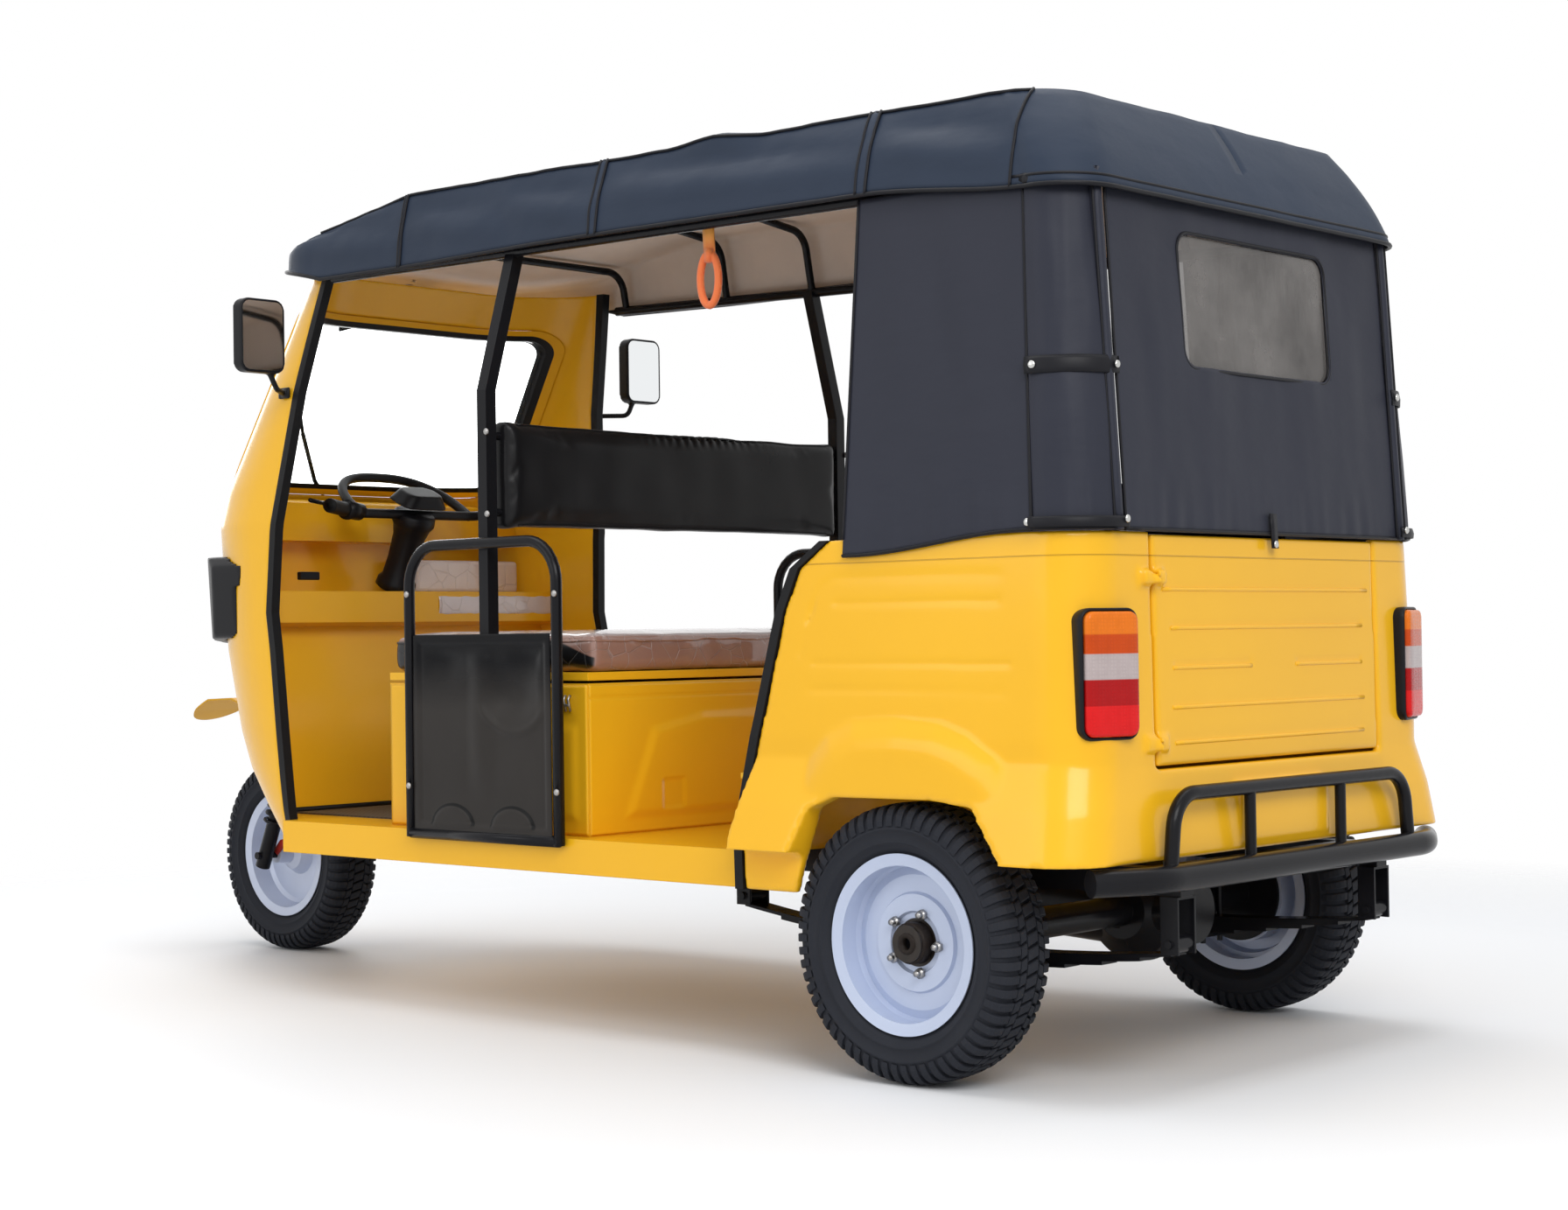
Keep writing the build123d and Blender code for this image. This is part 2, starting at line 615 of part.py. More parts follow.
def hinge_half(side, height):
    """One half of a lift-off hinge: its pad on the panel, its arm and its solid barrel."""
    half_length = HINGE_LENGTH / 2
    inner, outer = HINGE_X + side * HINGE_PAD[0], HINGE_X + side * HINGE_PAD[1]
    low, high = height + FIT, height + half_length
    if side > 0:
        low, high = height - half_length, height - FIT
    arm_face = HINGE_Y - HINGE_BARREL
    block(
        (min(inner, outer), max(inner, outer)),
        (fore(-tub_rear(height)) - HINGE_BARREL, arm_face + HINGE_ARM),
        (height - half_length, height + half_length),
    )
    block((min(HINGE_X, outer), max(HINGE_X, outer)), (arm_face, arm_face + HINGE_ARM), (low, high))
    rod((HINGE_X, HINGE_Y, low), (HINGE_X, HINGE_Y, high), HINGE_BARREL)


with BuildPart() as rear_body:
    add(tub_skin)
    add(flare_skin)
    add(arch_bulge.part)
    block(
        (-PLATE_HALF, PLATE_HALF), (fore(-380), fore(-PLATE_FACE)), (PLATE_LOW, PLATE_HIGH)
    )
    for side in (-1, 1):
        hole_x, hole_z = side * PLATE_HOLES_APART / 2, (PLATE_LOW + PLATE_HIGH) / 2
        rod((hole_x, fore(-300), hole_z), (hole_x, fore(-500), hole_z), PLATE_HOLE, Mode.SUBTRACT)
    add(tub_inside, mode=Mode.SUBTRACT)
    # the door edge slopes, and the skirt behind the wheels ends higher than the sill
    add(tub_door(TRIM_REACH), mode=Mode.SUBTRACT)
    below_skirt = ((-200, 300), (-200, SKIRT_Z), (-600, SKIRT_Z), (-600, 300))
    side_profile(below_skirt, -800, 800, Mode.SUBTRACT)
    side_profile(ARCH + ((-264, 300), (273, 300)), -800, 800, Mode.SUBTRACT)
    block(
        (-DOOR_HALF, DOOR_HALF), (fore(-300), fore(-600)), (DOOR_BOTTOM, TUB_TOP + 50), Mode.SUBTRACT
    )
    for side in (-1, 1):
        add(lamp_block(side, FIT, 90, 40), mode=Mode.SUBTRACT)
        for groove in SIDE_GROOVES:
            with BuildSketch(Plane.YZ.offset(side * (tub_half(groove[0][1]) - RIB_DEPTH))) as cut:
                with BuildLine():
                    Polyline(*[(fore(s), z) for s, z in groove])
                trace(line_width=RIB_WIDTH)
            extrude(cut.sketch, amount=side * GROOVE_REACH, mode=Mode.SUBTRACT)
    for height in HINGES_Z:
        hinge_half(1, height)
        rod(
            (HINGE_X, HINGE_Y, height - 1),
            (HINGE_X, HINGE_Y, height + HINGE_LENGTH / 2),
            HINGE_PIN,
        )
save(rear_body, "rear_body")

with BuildPart() as tub_trim:
    add(tub_form(TUB, -TRIM_PROUD))
    add(tub_form(TUB, TUB_WALL + TRIM_PROUD), mode=Mode.SUBTRACT)
    add(tub_door(TRIM_REACH), mode=Mode.INTERSECT)
    add(tub_door(), mode=Mode.SUBTRACT)
save(tub_trim, "tub_edge_trim")

# floor of the tub over the wheels, its front riser down to the cab floor
RISER_AT = FLOOR_BACK + FIT
with BuildPart() as tub_floor:
    block((-800, 800), (fore(RISER_AT), fore(-600)), (TUB_FLOOR_Z - FLOOR_SHEET, TUB_FLOOR_Z))
    block((-600, 600), (fore(RISER_AT), fore(RISER_AT - FLOOR_SHEET)), (RAIL_TOP, TUB_FLOOR_Z))
    add(tub_form(TUB, TUB_WALL + TRIM_PROUD + 1), mode=Mode.INTERSECT)
save(tub_floor, "tub_floor")

# ---------------------------------------------------------------- tail lamps
LAMP_FRAME, LENS_THICK = 9.0, 14.0
with BuildPart() as tail_lamp_housings:
    for side in (-1, 1):
        add(lamp_block(side, 0, LAMP_DEPTH, 6))
    for side in (-1, 1):
        add(lamp_block(side, -LAMP_FRAME, LENS_THICK + 20, 20), mode=Mode.SUBTRACT)
save(tail_lamp_housings, "tail_lamp_housings")
with BuildPart() as tail_lamp_lenses:
    for side in (-1, 1):
        add(lamp_block(side, -LAMP_FRAME - FIT, LENS_THICK - 2, 12))
save(tail_lamp_lenses, "tail_lamp_lenses")

# ---------------------------------------------------------------- tailgate
with BuildPart() as gate_zone:
    block((-GATE_HALF, GATE_HALF), (fore(-300), fore(-600)), (GATE_LOW, GATE_HIGH))
with BuildPart() as tailgate:
    add(tub_skin)
    add(tub_inside, mode=Mode.SUBTRACT)
    add(gate_zone.part, mode=Mode.INTERSECT)
    for height, right, left in GATE_BEADS:
        block(
            (right, left),
            (fore(-tub_rear(height)) - RIB_DEPTH, fore(-tub_rear(height)) + RIB_DEPTH),
            (height - RIB_WIDTH / 2, height + RIB_WIDTH / 2),
            Mode.SUBTRACT,
        )
    for height in HINGES_Z:
        hinge_half(-1, height)
        rod(
            (HINGE_X, HINGE_Y, height - HINGE_LENGTH),
            (HINGE_X, HINGE_Y, height + HINGE_LENGTH),
            HINGE_PIN + FIT,
            Mode.SUBTRACT,
        )
save(tailgate, "tailgate")

# ---------------------------------------------------------------- bumper
BUMPER_TUBE, BUMPER_Z = 25.0, 399.0
HOOP_TUBE = 14.0
BUMPER_Y = fore(-REAR_REACH) - BUMPER_TUBE
HOOP_Y = BUMPER_Y - 12.0
HOOP_HALF, HOOP_TOP_HALF, HOOP_TOP, UPRIGHT_HALF = 440.0, 340.0, 549.0, 167.0
with BuildPart() as rear_bumper:
    tube(
        (
            (-612, BUMPER_Y - 66, BUMPER_Z),
            (-490, BUMPER_Y, BUMPER_Z),
            (490, BUMPER_Y, BUMPER_Z),
            (612, BUMPER_Y - 66, BUMPER_Z),
        ),
        BUMPER_TUBE,
        160,
    )
    tube(
        (
            (-HOOP_HALF, HOOP_Y, BUMPER_Z),
            (-HOOP_HALF + 20, HOOP_Y, HOOP_TOP),
            (HOOP_HALF - 20, HOOP_Y, HOOP_TOP),
            (HOOP_HALF, HOOP_Y, BUMPER_Z),
        ),
        HOOP_TUBE,
        70,
    )
    for side in (-1, 1):
        rod(
            (side * UPRIGHT_HALF, HOOP_Y, BUMPER_Z),
            (side * UPRIGHT_HALF, HOOP_Y, HOOP_TOP),
            HOOP_TUBE - 3,
        )
        # arms forward to the ends of the chassis rails
        block(
            (side * RAIL_HALF - RAIL_WIDTH / 2, side * RAIL_HALF + RAIL_WIDTH / 2),
            (fore(-RAIL_BEHIND) + FIT / 3, BUMPER_Y),
            (BUMPER_Z - 18, BUMPER_Z + 9),
        )
save(rear_bumper, "rear_bumper")

# ---------------------------------------------------------------- canopy
VALANCE_Y = fore(-VALANCE_REAR)


def roof_form(inset, deeper=0.0):
    """The solid inside the canvas roof: its valance, its crease and its low crown."""
    below = -deeper / (VALANCE_DEPTH - inset)  # the valance's slope carried on below its edge
    layers = (  # rise, and drawn in at the rear, at the rear sides and at the front
        (-deeper, CREASE_REAR_IN * below, CREASE_IN * below, CREASE_FRONT_IN * below),
        (VALANCE_DEPTH - inset, CREASE_REAR_IN, CREASE_IN, CREASE_FRONT_IN),
        (VALANCE_DEPTH + CROWN_RISE - inset, CROWN_IN, CROWN_IN, CROWN_IN),
    )
    length = VALANCE_REAR + VALANCE_FRONT
    with BuildPart() as form:
        for rise, rear_in, side_in, front_in in layers:
            place = Plane(
                origin=(0, VALANCE_Y, roof_z(rise, VALANCE_Y)), x_dir=(1, 0, 0), z_dir=(0, 0, 1)
            ).rotated((-ROOF_PITCH, 0, 0))
            rear_half = VALANCE_REAR_HALF - inset - side_in
            front_half = VALANCE_FRONT_HALF - inset - front_in
            with BuildSketch(place) as outline:
                with BuildLine():
                    Polyline(
                        (-rear_half, -inset - rear_in),
                        (rear_half, -inset - rear_in),
                        (front_half, inset + front_in - length),
                        (-front_half, inset + front_in - length),
                        close=True,
                    )
                make_face()
                corners = outline.vertices().group_by(Axis.Y)
                fillet(corners[-1], ROOF_REAR_CORNER - inset)
                fillet(corners[0], ROOF_FRONT_CORNER - inset)
        loft(ruled=True)
    return form.part


# ahead of the visor break the roof falls to its front edge, and its hem follows the cowl's top
with BuildPart() as visor_cut:
    side_profile(
        (
            (VISOR_BREAK, roof_z(VALANCE_DEPTH, fore(VISOR_BREAK))),
            (VALANCE_FRONT + 20, VISOR_EDGE_Z),
            (VALANCE_FRONT + 20, 2200),
            (VISOR_BREAK - 900, 2200),
        ),
        -800,
        800,
    )
with BuildPart() as hem_cut:
    side_profile(
        (
            (1905, roof_z(0, fore(1905)) - 20),
            (1905, roof_z(0, fore(1905))),
            (VALANCE_FRONT + 20, VISOR_EDGE_Z - 22),
            (VALANCE_FRONT + 20, 1500),
            (1905, 1500),
        ),
        -800,
        800,
    )
visor_slope = (roof_z(VALANCE_DEPTH, fore(VISOR_BREAK)) - VISOR_EDGE_Z) / (
    VALANCE_FRONT + 20 - VISOR_BREAK
)
with BuildPart() as inner_roof:
    add(roof_form(ROOF_SKIN, 80))
    add(visor_cut.part.moved(Location((0, 0, -ROOF_SKIN))), mode=Mode.SUBTRACT)
with BuildPart() as canopy_roof:
    add(roof_form(0))
    add(visor_cut.part, mode=Mode.SUBTRACT)
    add(inner_roof.part, mode=Mode.SUBTRACT)
    add(hem_cut.part, mode=Mode.SUBTRACT)
save(canopy_roof, "canopy_roof")

RAIL_RISE = 24.0  # side rail's centre above the valance's lower edge
# canvas round the rear cabin: height, half width behind and ahead, and rear face of its two ends
CURTAIN = ((992, 630, 630, 422), (1700, 588, 549, 379))
CURTAIN_FRONT = 140.0
SLOT_IN, SLOT_OUT = 501.0, 527.0  # the rear poles show between the corner and rear canvas
WINDOW_HALF, WINDOW_LOW, WINDOW_HIGH, WINDOW_CORNER = 265.0, 1345.0, 1597.0, 34.0


def curtain_form(inset):
    """The solid inside the rear cabin's canvas, drawn in by inset."""
    with BuildPart() as form:
        for height, rear_half, front_half, rear in CURTAIN:
            with BuildSketch(Plane.XY.offset(height)) as section:
                with BuildLine():
                    Polyline(
                        (-rear_half + inset, fore(-rear) - inset),
                        (rear_half - inset, fore(-rear) - inset),
                        (front_half - inset, fore(TUB_FRONT)),
                        (-front_half + inset, fore(TUB_FRONT)),
                        close=True,
                    )
                make_face()
                fillet(section.vertices().group_by(Axis.Y)[-1], TUB_CORNER - inset)
        loft(ruled=True)
    return form.part


CURTAIN_TOP = RAIL_RISE - TUBE - FIT  # the curtain hangs from the rail, inside the valance
with BuildPart() as curtain_top:
    side_profile(
        (
            (-600, roof_z(CURTAIN_TOP, fore(-600))),
            (600, roof_z(CURTAIN_TOP, fore(600))),
            (600, 2000),
            (-600, 2000),
        ),
        -800,
        800,
    )
with BuildPart() as curtain:
    add(curtain_form(0))
    add(curtain_form(CANVAS), mode=Mode.SUBTRACT)
    add(tub_form(TUB, -FIT), mode=Mode.SUBTRACT)
    ahead = ((CURTAIN_FRONT, 900), (CURTAIN_FRONT, 1800), (600, 1800), (600, 900))
    side_profile(ahead, -800, 800, Mode.SUBTRACT)
    # the side hem rises a little towards the rear
    below_hem = ((150, 900), (150, 997), (-250, 1030), (-600, 1030), (-600, 900))
    side_profile(below_hem, -800, 800, Mode.SUBTRACT)
    add(curtain_top.part, mode=Mode.SUBTRACT)

with BuildPart() as middle_zone:
    block((-SLOT_IN, SLOT_IN), (fore(-330), fore(-600)), (900, 1800))
with BuildPart() as slot_zone:
    block((-SLOT_OUT, SLOT_OUT), (fore(-330), fore(-600)), (900, 1800))
with BuildPart() as canopy_quarters:
    add(curtain.part)
    add(slot_zone.part, mode=Mode.SUBTRACT)
save(canopy_quarters, "canopy_quarters")


def window_prism(inset):
    """The rear window's outline run fore and aft."""
    with BuildPart() as prism:
        with BuildSketch(Plane.XZ.offset(-fore(-500))) as outline:
            with Locations((0, (WINDOW_LOW + WINDOW_HIGH) / 2)):
                RectangleRounded(
                    2 * (WINDOW_HALF - inset), WINDOW_HIGH - WINDOW_LOW - 2 * inset, WINDOW_CORNER - inset
                )
        extrude(amount=200)
    return prism.part


with BuildPart() as canopy_rear:
    add(curtain.part)
    add(middle_zone.part, mode=Mode.INTERSECT)
    add(window_prism(0), mode=Mode.SUBTRACT)
save(canopy_rear, "canopy_rear")
FILM = 2.0
with BuildPart() as rear_window:
    add(curtain_form((CANVAS - FILM) / 2))
    add(curtain_form((CANVAS + FILM) / 2), mode=Mode.SUBTRACT)
    add(window_prism(FIT / 3), mode=Mode.INTERSECT)
    ahead = ((300, 900), (300, 1800), (600, 1800), (600, 900))
    side_profile(ahead, -800, 800, Mode.SUBTRACT)
save(rear_window, "rear_window")

# ---------------------------------------------------------------- canopy frame
BOWS = (1860.0, 1500.0, 1213.0, 870.0, 500.0, 120.0, -180.0)
RAIL_FRONT, REAR_RAIL = 1895.0, 362.0
BOW_BEND = 60.0
POLE_X, POLE_BEHIND = 514.0, 402.0


def valance_half(station):
    """Half width between the valances' lower edges at a station."""
    share = (station + VALANCE_REAR) / (VALANCE_FRONT + VALANCE_REAR)
    return VALANCE_REAR_HALF + share * (VALANCE_FRONT_HALF - VALANCE_REAR_HALF)


def rail_point(side, station):
    """Centre of the canopy's side rail at a station."""
    half = valance_half(station) - ROOF_SKIN - TUBE - 13
    return (side * half, fore(station), roof_z(RAIL_RISE, fore(station)))


def post(low, high, width):
    """A square post between two level ends, each given by its middle."""
    with BuildSketch(Plane.XY.offset(low[2])) as foot:
        with Locations((low[0], low[1])):
            Rectangle(width, width)
    with BuildSketch(Plane.XY.offset(high[2])) as head:
        with Locations((high[0], high[1])):
            Rectangle(width, width)
    loft([foot.sketch.face(), head.sketch.face()], ruled=True)


with BuildPart() as canopy_frame:
    tube(
        (
            rail_point(-1, RAIL_FRONT),
            rail_point(-1, -REAR_RAIL),
            rail_point(1, -REAR_RAIL),
            rail_point(1, RAIL_FRONT),
        ),
        TUBE,
        TUB_CORNER - CANVAS,
    )
    for station in BOWS:
        near, far = rail_point(-1, station), rail_point(1, station)
        share = (station + VALANCE_REAR) / (VALANCE_FRONT + VALANCE_REAR)
        crease = CREASE_IN + share * (CREASE_FRONT_IN - CREASE_IN)
        half = valance_half(station) - crease - ROOF_SKIN - BOW_TUBE - 6
        top = roof_z(VALANCE_DEPTH - ROOF_SKIN - BOW_TUBE - 2, fore(station))
        if station > VISOR_BREAK:
            top -= visor_slope * (station - VISOR_BREAK) + 8
        bow = [near, (-half, near[1], top), (half, near[1], top), far]
        if station < VISOR_BREAK:
            crown = half - (CROWN_IN - crease)
            bow[2:2] = [(-crown, near[1], top + CROWN_RISE), (crown, near[1], top + CROWN_RISE)]
        tube(bow, BOW_TUBE, BOW_BEND)
    for side in (-1, 1):
        # rear pole, standing on the tub's wall and leaning over into the rear bow
        tube(
            (
                (side * POLE_X, fore(-POLE_BEHIND), TUB_TOP + 1),
                (side * POLE_X, fore(-REAR_RAIL), roof_z(RAIL_RISE, fore(-REAR_RAIL))),
                (side * (POLE_X - 40), fore(BOWS[-1]), roof_z(VALANCE_DEPTH - 36, fore(BOWS[-1]))),
            ),
            POLE_TUBE,
            60,
        )
        # door pillar: upright to the knee, then leaning in to the rail
        foot = (side * PILLAR_X, fore(PILLAR_AHEAD))
        post((*foot, FLOOR_Z), (*foot, PILLAR_KNEE_Z), PILLAR)
        rail_x, rail_y, rail_z = rail_point(side, PILLAR_AHEAD)
        post((*foot, PILLAR_KNEE_Z), (rail_x - side * 6, rail_y, rail_z), PILLAR)
save(canopy_frame, "canopy_frame")

# ---------------------------------------------------------------- middle seat
LID_LIFT = 6.0
LID_LEAF, LEAF_SHEET = 17.0, 3.0
LID_HINGES_X = (-350.0, 350.0)
LID_HINGE_Y, LID_HINGE_Z = fore(SEAT_FRONT) - HINGE_BARREL - 1, SEAT_BOX_TOP + LID_LIFT / 2


def lid_hinge(start, end, low, high):
    """One half of a seat lid hinge: its leaf on the panel's front edge and its barrel."""
    block((start, end), (fore(SEAT_FRONT) - LEAF_SHEET, fore(SEAT_FRONT)), (low, high))
    edge = low if low > LID_HINGE_Z else high
    reach = (LID_HINGE_Y, fore(SEAT_FRONT))
    block((start, end), reach, (edge - LEAF_SHEET / 2, edge + LEAF_SHEET / 2))
    rod((start, LID_HINGE_Y, LID_HINGE_Z), (end, LID_HINGE_Y, LID_HINGE_Z), HINGE_BARREL)


with BuildPart() as seat_box:
    block((-SEAT_HALF, SEAT_HALF), (fore(SEAT_FRONT), fore(SEAT_BACK)), (FLOOR_Z, SEAT_BOX_TOP))
    block(
        (-SEAT_HALF + SEAT_WALL, SEAT_HALF - SEAT_WALL),
        (fore(SEAT_FRONT - SEAT_WALL), fore(SEAT_BACK + SEAT_WALL)),
        (FLOOR_Z - 1, SEAT_BOX_TOP + 1),
        Mode.SUBTRACT,
    )
    for x in LID_HINGES_X:
        lid_hinge(x - HINGE_LENGTH, x - FIT, SEAT_BOX_TOP - LID_LEAF, SEAT_BOX_TOP)
        pin_end = (x + HINGE_LENGTH, LID_HINGE_Y, LID_HINGE_Z)
        rod((x - 1, LID_HINGE_Y, LID_HINGE_Z), pin_end, HINGE_PIN)
save(seat_box, "seat_box")
with BuildPart() as battery_block:
    block((-440, 440), (fore(1500), fore(1050)), (FLOOR_Z, FLOOR_Z + 225))
save(battery_block, "battery_block")
with BuildPart() as seat_lid:
    block(
        (-SEAT_HALF, SEAT_HALF),
        (fore(SEAT_FRONT), fore(SEAT_BACK)),
        (SEAT_BOX_TOP + LID_LIFT, SEAT_BOX_TOP + LID_LIFT + SEAT_LID),
    )
    for x in LID_HINGES_X:
        low = SEAT_BOX_TOP + LID_LIFT
        lid_hinge(x + FIT, x + HINGE_LENGTH, low, low + LID_LEAF)
        rod(
            (x - 2, LID_HINGE_Y, LID_HINGE_Z),
            (x + HINGE_LENGTH + 2, LID_HINGE_Y, LID_HINGE_Z),
            HINGE_PIN + FIT,
            Mode.SUBTRACT,
        )
save(seat_lid, "seat_lid")
CUSHION_OVER = 22.0
CUSHION_Z = SEAT_BOX_TOP + LID_LIFT + SEAT_LID + FIT
with BuildPart() as seat_cushion:
    block(
        (-SEAT_HALF, SEAT_HALF),
        (fore(SEAT_FRONT + CUSHION_OVER), fore(SEAT_BACK - CUSHION_OVER)),
        (CUSHION_Z, CUSHION_Z + SEAT_CUSHION),
    )
    fillet(seat_cushion.edges().group_by(Axis.Z)[-1], 30)
save(seat_cushion, "seat_cushion")
BACK_LOW, BACK_HIGH, BACK_THICK = 1085.0, 1335.0, 66.0
with BuildPart() as middle_backrest:
    block(
        (-SEAT_HALF, SEAT_HALF),
        (fore(PILLAR_AHEAD) - BACK_THICK / 2, fore(PILLAR_AHEAD) + BACK_THICK / 2),
        (BACK_LOW, BACK_HIGH),
    )
    fillet(middle_backrest.edges().filter_by(Axis.X), 24)
save(middle_backrest, "middle_backrest")
BOLTS_Z = (1130.0, 1300.0)
with BuildPart() as backrest_lugs:
    for side in (-1, 1):
        for height in BOLTS_Z:
            rod(
                (side * (SEAT_HALF + FIT), fore(PILLAR_AHEAD), height),
                (side * (PILLAR_X - PILLAR / 2), fore(PILLAR_AHEAD), height),
                9,
            )
save(backrest_lugs, "backrest_lugs")

# ---------------------------------------------------------------- side guards
GUARD_TUBE = 12.5
GUARD_X = SILL_HALF + FIT + GUARD_TUBE
GUARD_FRONT, GUARD_BACK, GUARD_LOW, GUARD_HIGH, GUARD_BEND = 1450.0, 960.0, 405.0, 1060.0, 90.0
GUARD_PANEL_TOP, GUARD_SHEET = 860.0, 3.0
with BuildPart() as side_guards:
    for side in (-1, 1):
        x = side * GUARD_X
        tube(
            (
                (x, fore(GUARD_FRONT), GUARD_LOW),
                (x, fore(GUARD_FRONT), GUARD_HIGH),
                (x, fore(GUARD_BACK), GUARD_HIGH),
                (x, fore(GUARD_BACK), GUARD_LOW),
            ),
            GUARD_TUBE,
            GUARD_BEND,
        )
        block(
            (x - GUARD_SHEET / 2, x + GUARD_SHEET / 2),
            (fore(GUARD_FRONT), fore(GUARD_BACK)),
            (GUARD_LOW, GUARD_PANEL_TOP),
        )
save(side_guards, "side_guards")

# ---------------------------------------------------------------- rear bench
BENCH_HALF, BENCH_FRONT, BENCH_BACK = 560.0, 250.0, -140.0
BENCH_TOP = 740.0
with BuildPart() as bench_box:
    block((-BENCH_HALF, BENCH_HALF), (fore(BENCH_FRONT), fore(BENCH_BACK)), (TUB_FLOOR_Z, BENCH_TOP))
    block(
        (-BENCH_HALF + SEAT_WALL, BENCH_HALF - SEAT_WALL),
        (fore(BENCH_FRONT - SEAT_WALL), fore(BENCH_BACK + SEAT_WALL)),
        (TUB_FLOOR_Z - 1, BENCH_TOP - SEAT_WALL),
        Mode.SUBTRACT,
    )
save(bench_box, "bench_box")
with BuildPart() as bench_cushion:
    block(
        (-BENCH_HALF, BENCH_HALF),
        (fore(BENCH_FRONT + 15), fore(BENCH_BACK + 70)),
        (BENCH_TOP + FIT, BENCH_TOP + FIT + SEAT_CUSHION),
    )
    fillet(bench_cushion.edges().group_by(Axis.Z)[-1], 30)
save(bench_cushion, "bench_cushion")
with BuildPart() as bench_back:
    block(
        (-BENCH_HALF, BENCH_HALF),
        (fore(BENCH_BACK + 68), fore(BENCH_BACK)),
        (BENCH_TOP + FIT, BENCH_TOP + 420),
    )
    fillet(bench_back.edges().filter_by(Axis.X), 22)
save(bench_back, "bench_backrest")

# ---------------------------------------------------------------- mirrors
MIRROR_X, MIRROR_AHEAD, MIRROR_Z = 641.0, 1960.0, 1585.0
MIRROR_WIDE, MIRROR_TALL, MIRROR_DEEP = 128.0, 178.0, 34.0
MIRROR_ARM, MIRROR_DROP, MIRROR_FOOT_AHEAD = 7.0, 125.0, 2048.0


def cowl_half(height):
    """The cowl's half width at a height, between its sections."""
    for low, high in zip(COWL, COWL[1:]):
        if low[0] <= height <= high[0]:
            return low[1] + (high[1] - low[1]) * (height - low[0]) / (high[0] - low[0])


def mirror_plane(side):
    """A plane on a mirror's middle, its face looking back at the driver."""
    return Plane(
        origin=(side * MIRROR_X, fore(MIRROR_AHEAD), MIRROR_Z), x_dir=(1, 0, 0), z_dir=(0, 1, 0)
    )


with BuildPart() as mirror_housings:
    for side in (-1, 1):
        place = mirror_plane(side)
        with BuildSketch(place.offset(-MIRROR_DEEP)) as shape:
            RectangleRounded(MIRROR_WIDE, MIRROR_TALL, 26)
        extrude(shape.sketch, amount=MIRROR_DEEP)
        with BuildSketch(place.offset(-4)) as pocket:
            RectangleRounded(MIRROR_WIDE - 12, MIRROR_TALL - 12, 20)
        extrude(pocket.sketch, amount=10, mode=Mode.SUBTRACT)
        y = fore(MIRROR_AHEAD) - MIRROR_DEEP / 2
        low = MIRROR_Z - MIRROR_DROP
        foot_x, foot_y = cowl_half(low - 14) + FIT, fore(MIRROR_FOOT_AHEAD)
        tube(
            (
                (side * (MIRROR_X - 20), y, MIRROR_Z - MIRROR_TALL / 2 + 20),
                (side * (MIRROR_X - 50), y, low),
                (side * (foot_x + 8), foot_y, low),
            ),
            MIRROR_ARM,
            20,
        )
        block(
            tuple(sorted((side * foot_x, side * (foot_x + 8)))),
            (foot_y - 22, foot_y + 22),
            (low - 14, low + 14),
        )
save(mirror_housings, "mirror_housings")
with BuildPart() as mirror_glasses:
    for side in (-1, 1):
        with BuildSketch(mirror_plane(side).offset(-4 + FIT / 3)) as shape:
            RectangleRounded(MIRROR_WIDE - 12.6, MIRROR_TALL - 12.6, 19.7)
        extrude(shape.sketch, amount=3)
save(mirror_glasses, "mirror_glasses")

# ---------------------------------------------------------------- rear axle
BACKPLATE = 6.0
GEARBOX_RADIUS, GEARBOX_BACK = 66.0, -140.0
MOTOR_RADIUS, MOTOR_AHEAD, MOTOR_RISE = 84.0, 330.0, 20.0
DIFF_PROFILE = ((0, -75), (60, -75), (105, -40), (112, 0), (105, 40), (60, 75), (0, 75))
SHAFT_PAST = 30.0  # the half shafts reach that far past the wheels' middles
CLAMP_SHEET, UBOLT = 9.0, 6.0
hub_inner = REAR_TRACK / 2 + DISC_AT - 60
with BuildPart() as rear_axle:
    for reach, radius in ((hub_inner - RUNNING, AXLE_TUBE), (REAR_TRACK / 2 + SHAFT_PAST, HUB_BORE)):
        rod((-reach, fore(0), TYRE_RADIUS), (reach, fore(0), TYRE_RADIUS), radius)
    diff = (DIFF_X, fore(0), TYRE_RADIUS)
    spin(DIFF_PROFILE, diff)
    rod(diff, (DIFF_X, fore(GEARBOX_BACK), TYRE_RADIUS), GEARBOX_RADIUS)
    rod(diff, (DIFF_X, fore(MOTOR_AHEAD), TYRE_RADIUS + MOTOR_RISE), MOTOR_RADIUS)
    for side in (-1, 1):
        rod(
            (side * (hub_inner - RUNNING - BACKPLATE), fore(0), TYRE_RADIUS),
            (side * (hub_inner - RUNNING), fore(0), TYRE_RADIUS),
            DRUM_RADIUS - 4,
        )
        # the spring's seat: a saddle over the axle, a plate under the leaves and the bolts between
        x, leaves = side * SPRING_X, LEAF * len(LEAVES)
        reach = LEAF_WIDE / 2 + UBOLT + 2
        plate_top = SPRING_SEAT - leaves - FIT
        for low in (plate_top - CLAMP_SHEET, TYRE_RADIUS + AXLE_TUBE - 4):
            block((x - reach - 8, x + reach + 8), (fore(52), fore(-52)), (low, low + CLAMP_SHEET))
        for across in (-reach, reach):
            for station in (-AXLE_TUBE - UBOLT, AXLE_TUBE + UBOLT):
                rod(
                    (x + across, fore(station), plate_top - CLAMP_SHEET - 14),
                    (x + across, fore(station), TYRE_RADIUS + AXLE_TUBE),
                    UBOLT,
                )
save(rear_axle, "rear_axle")

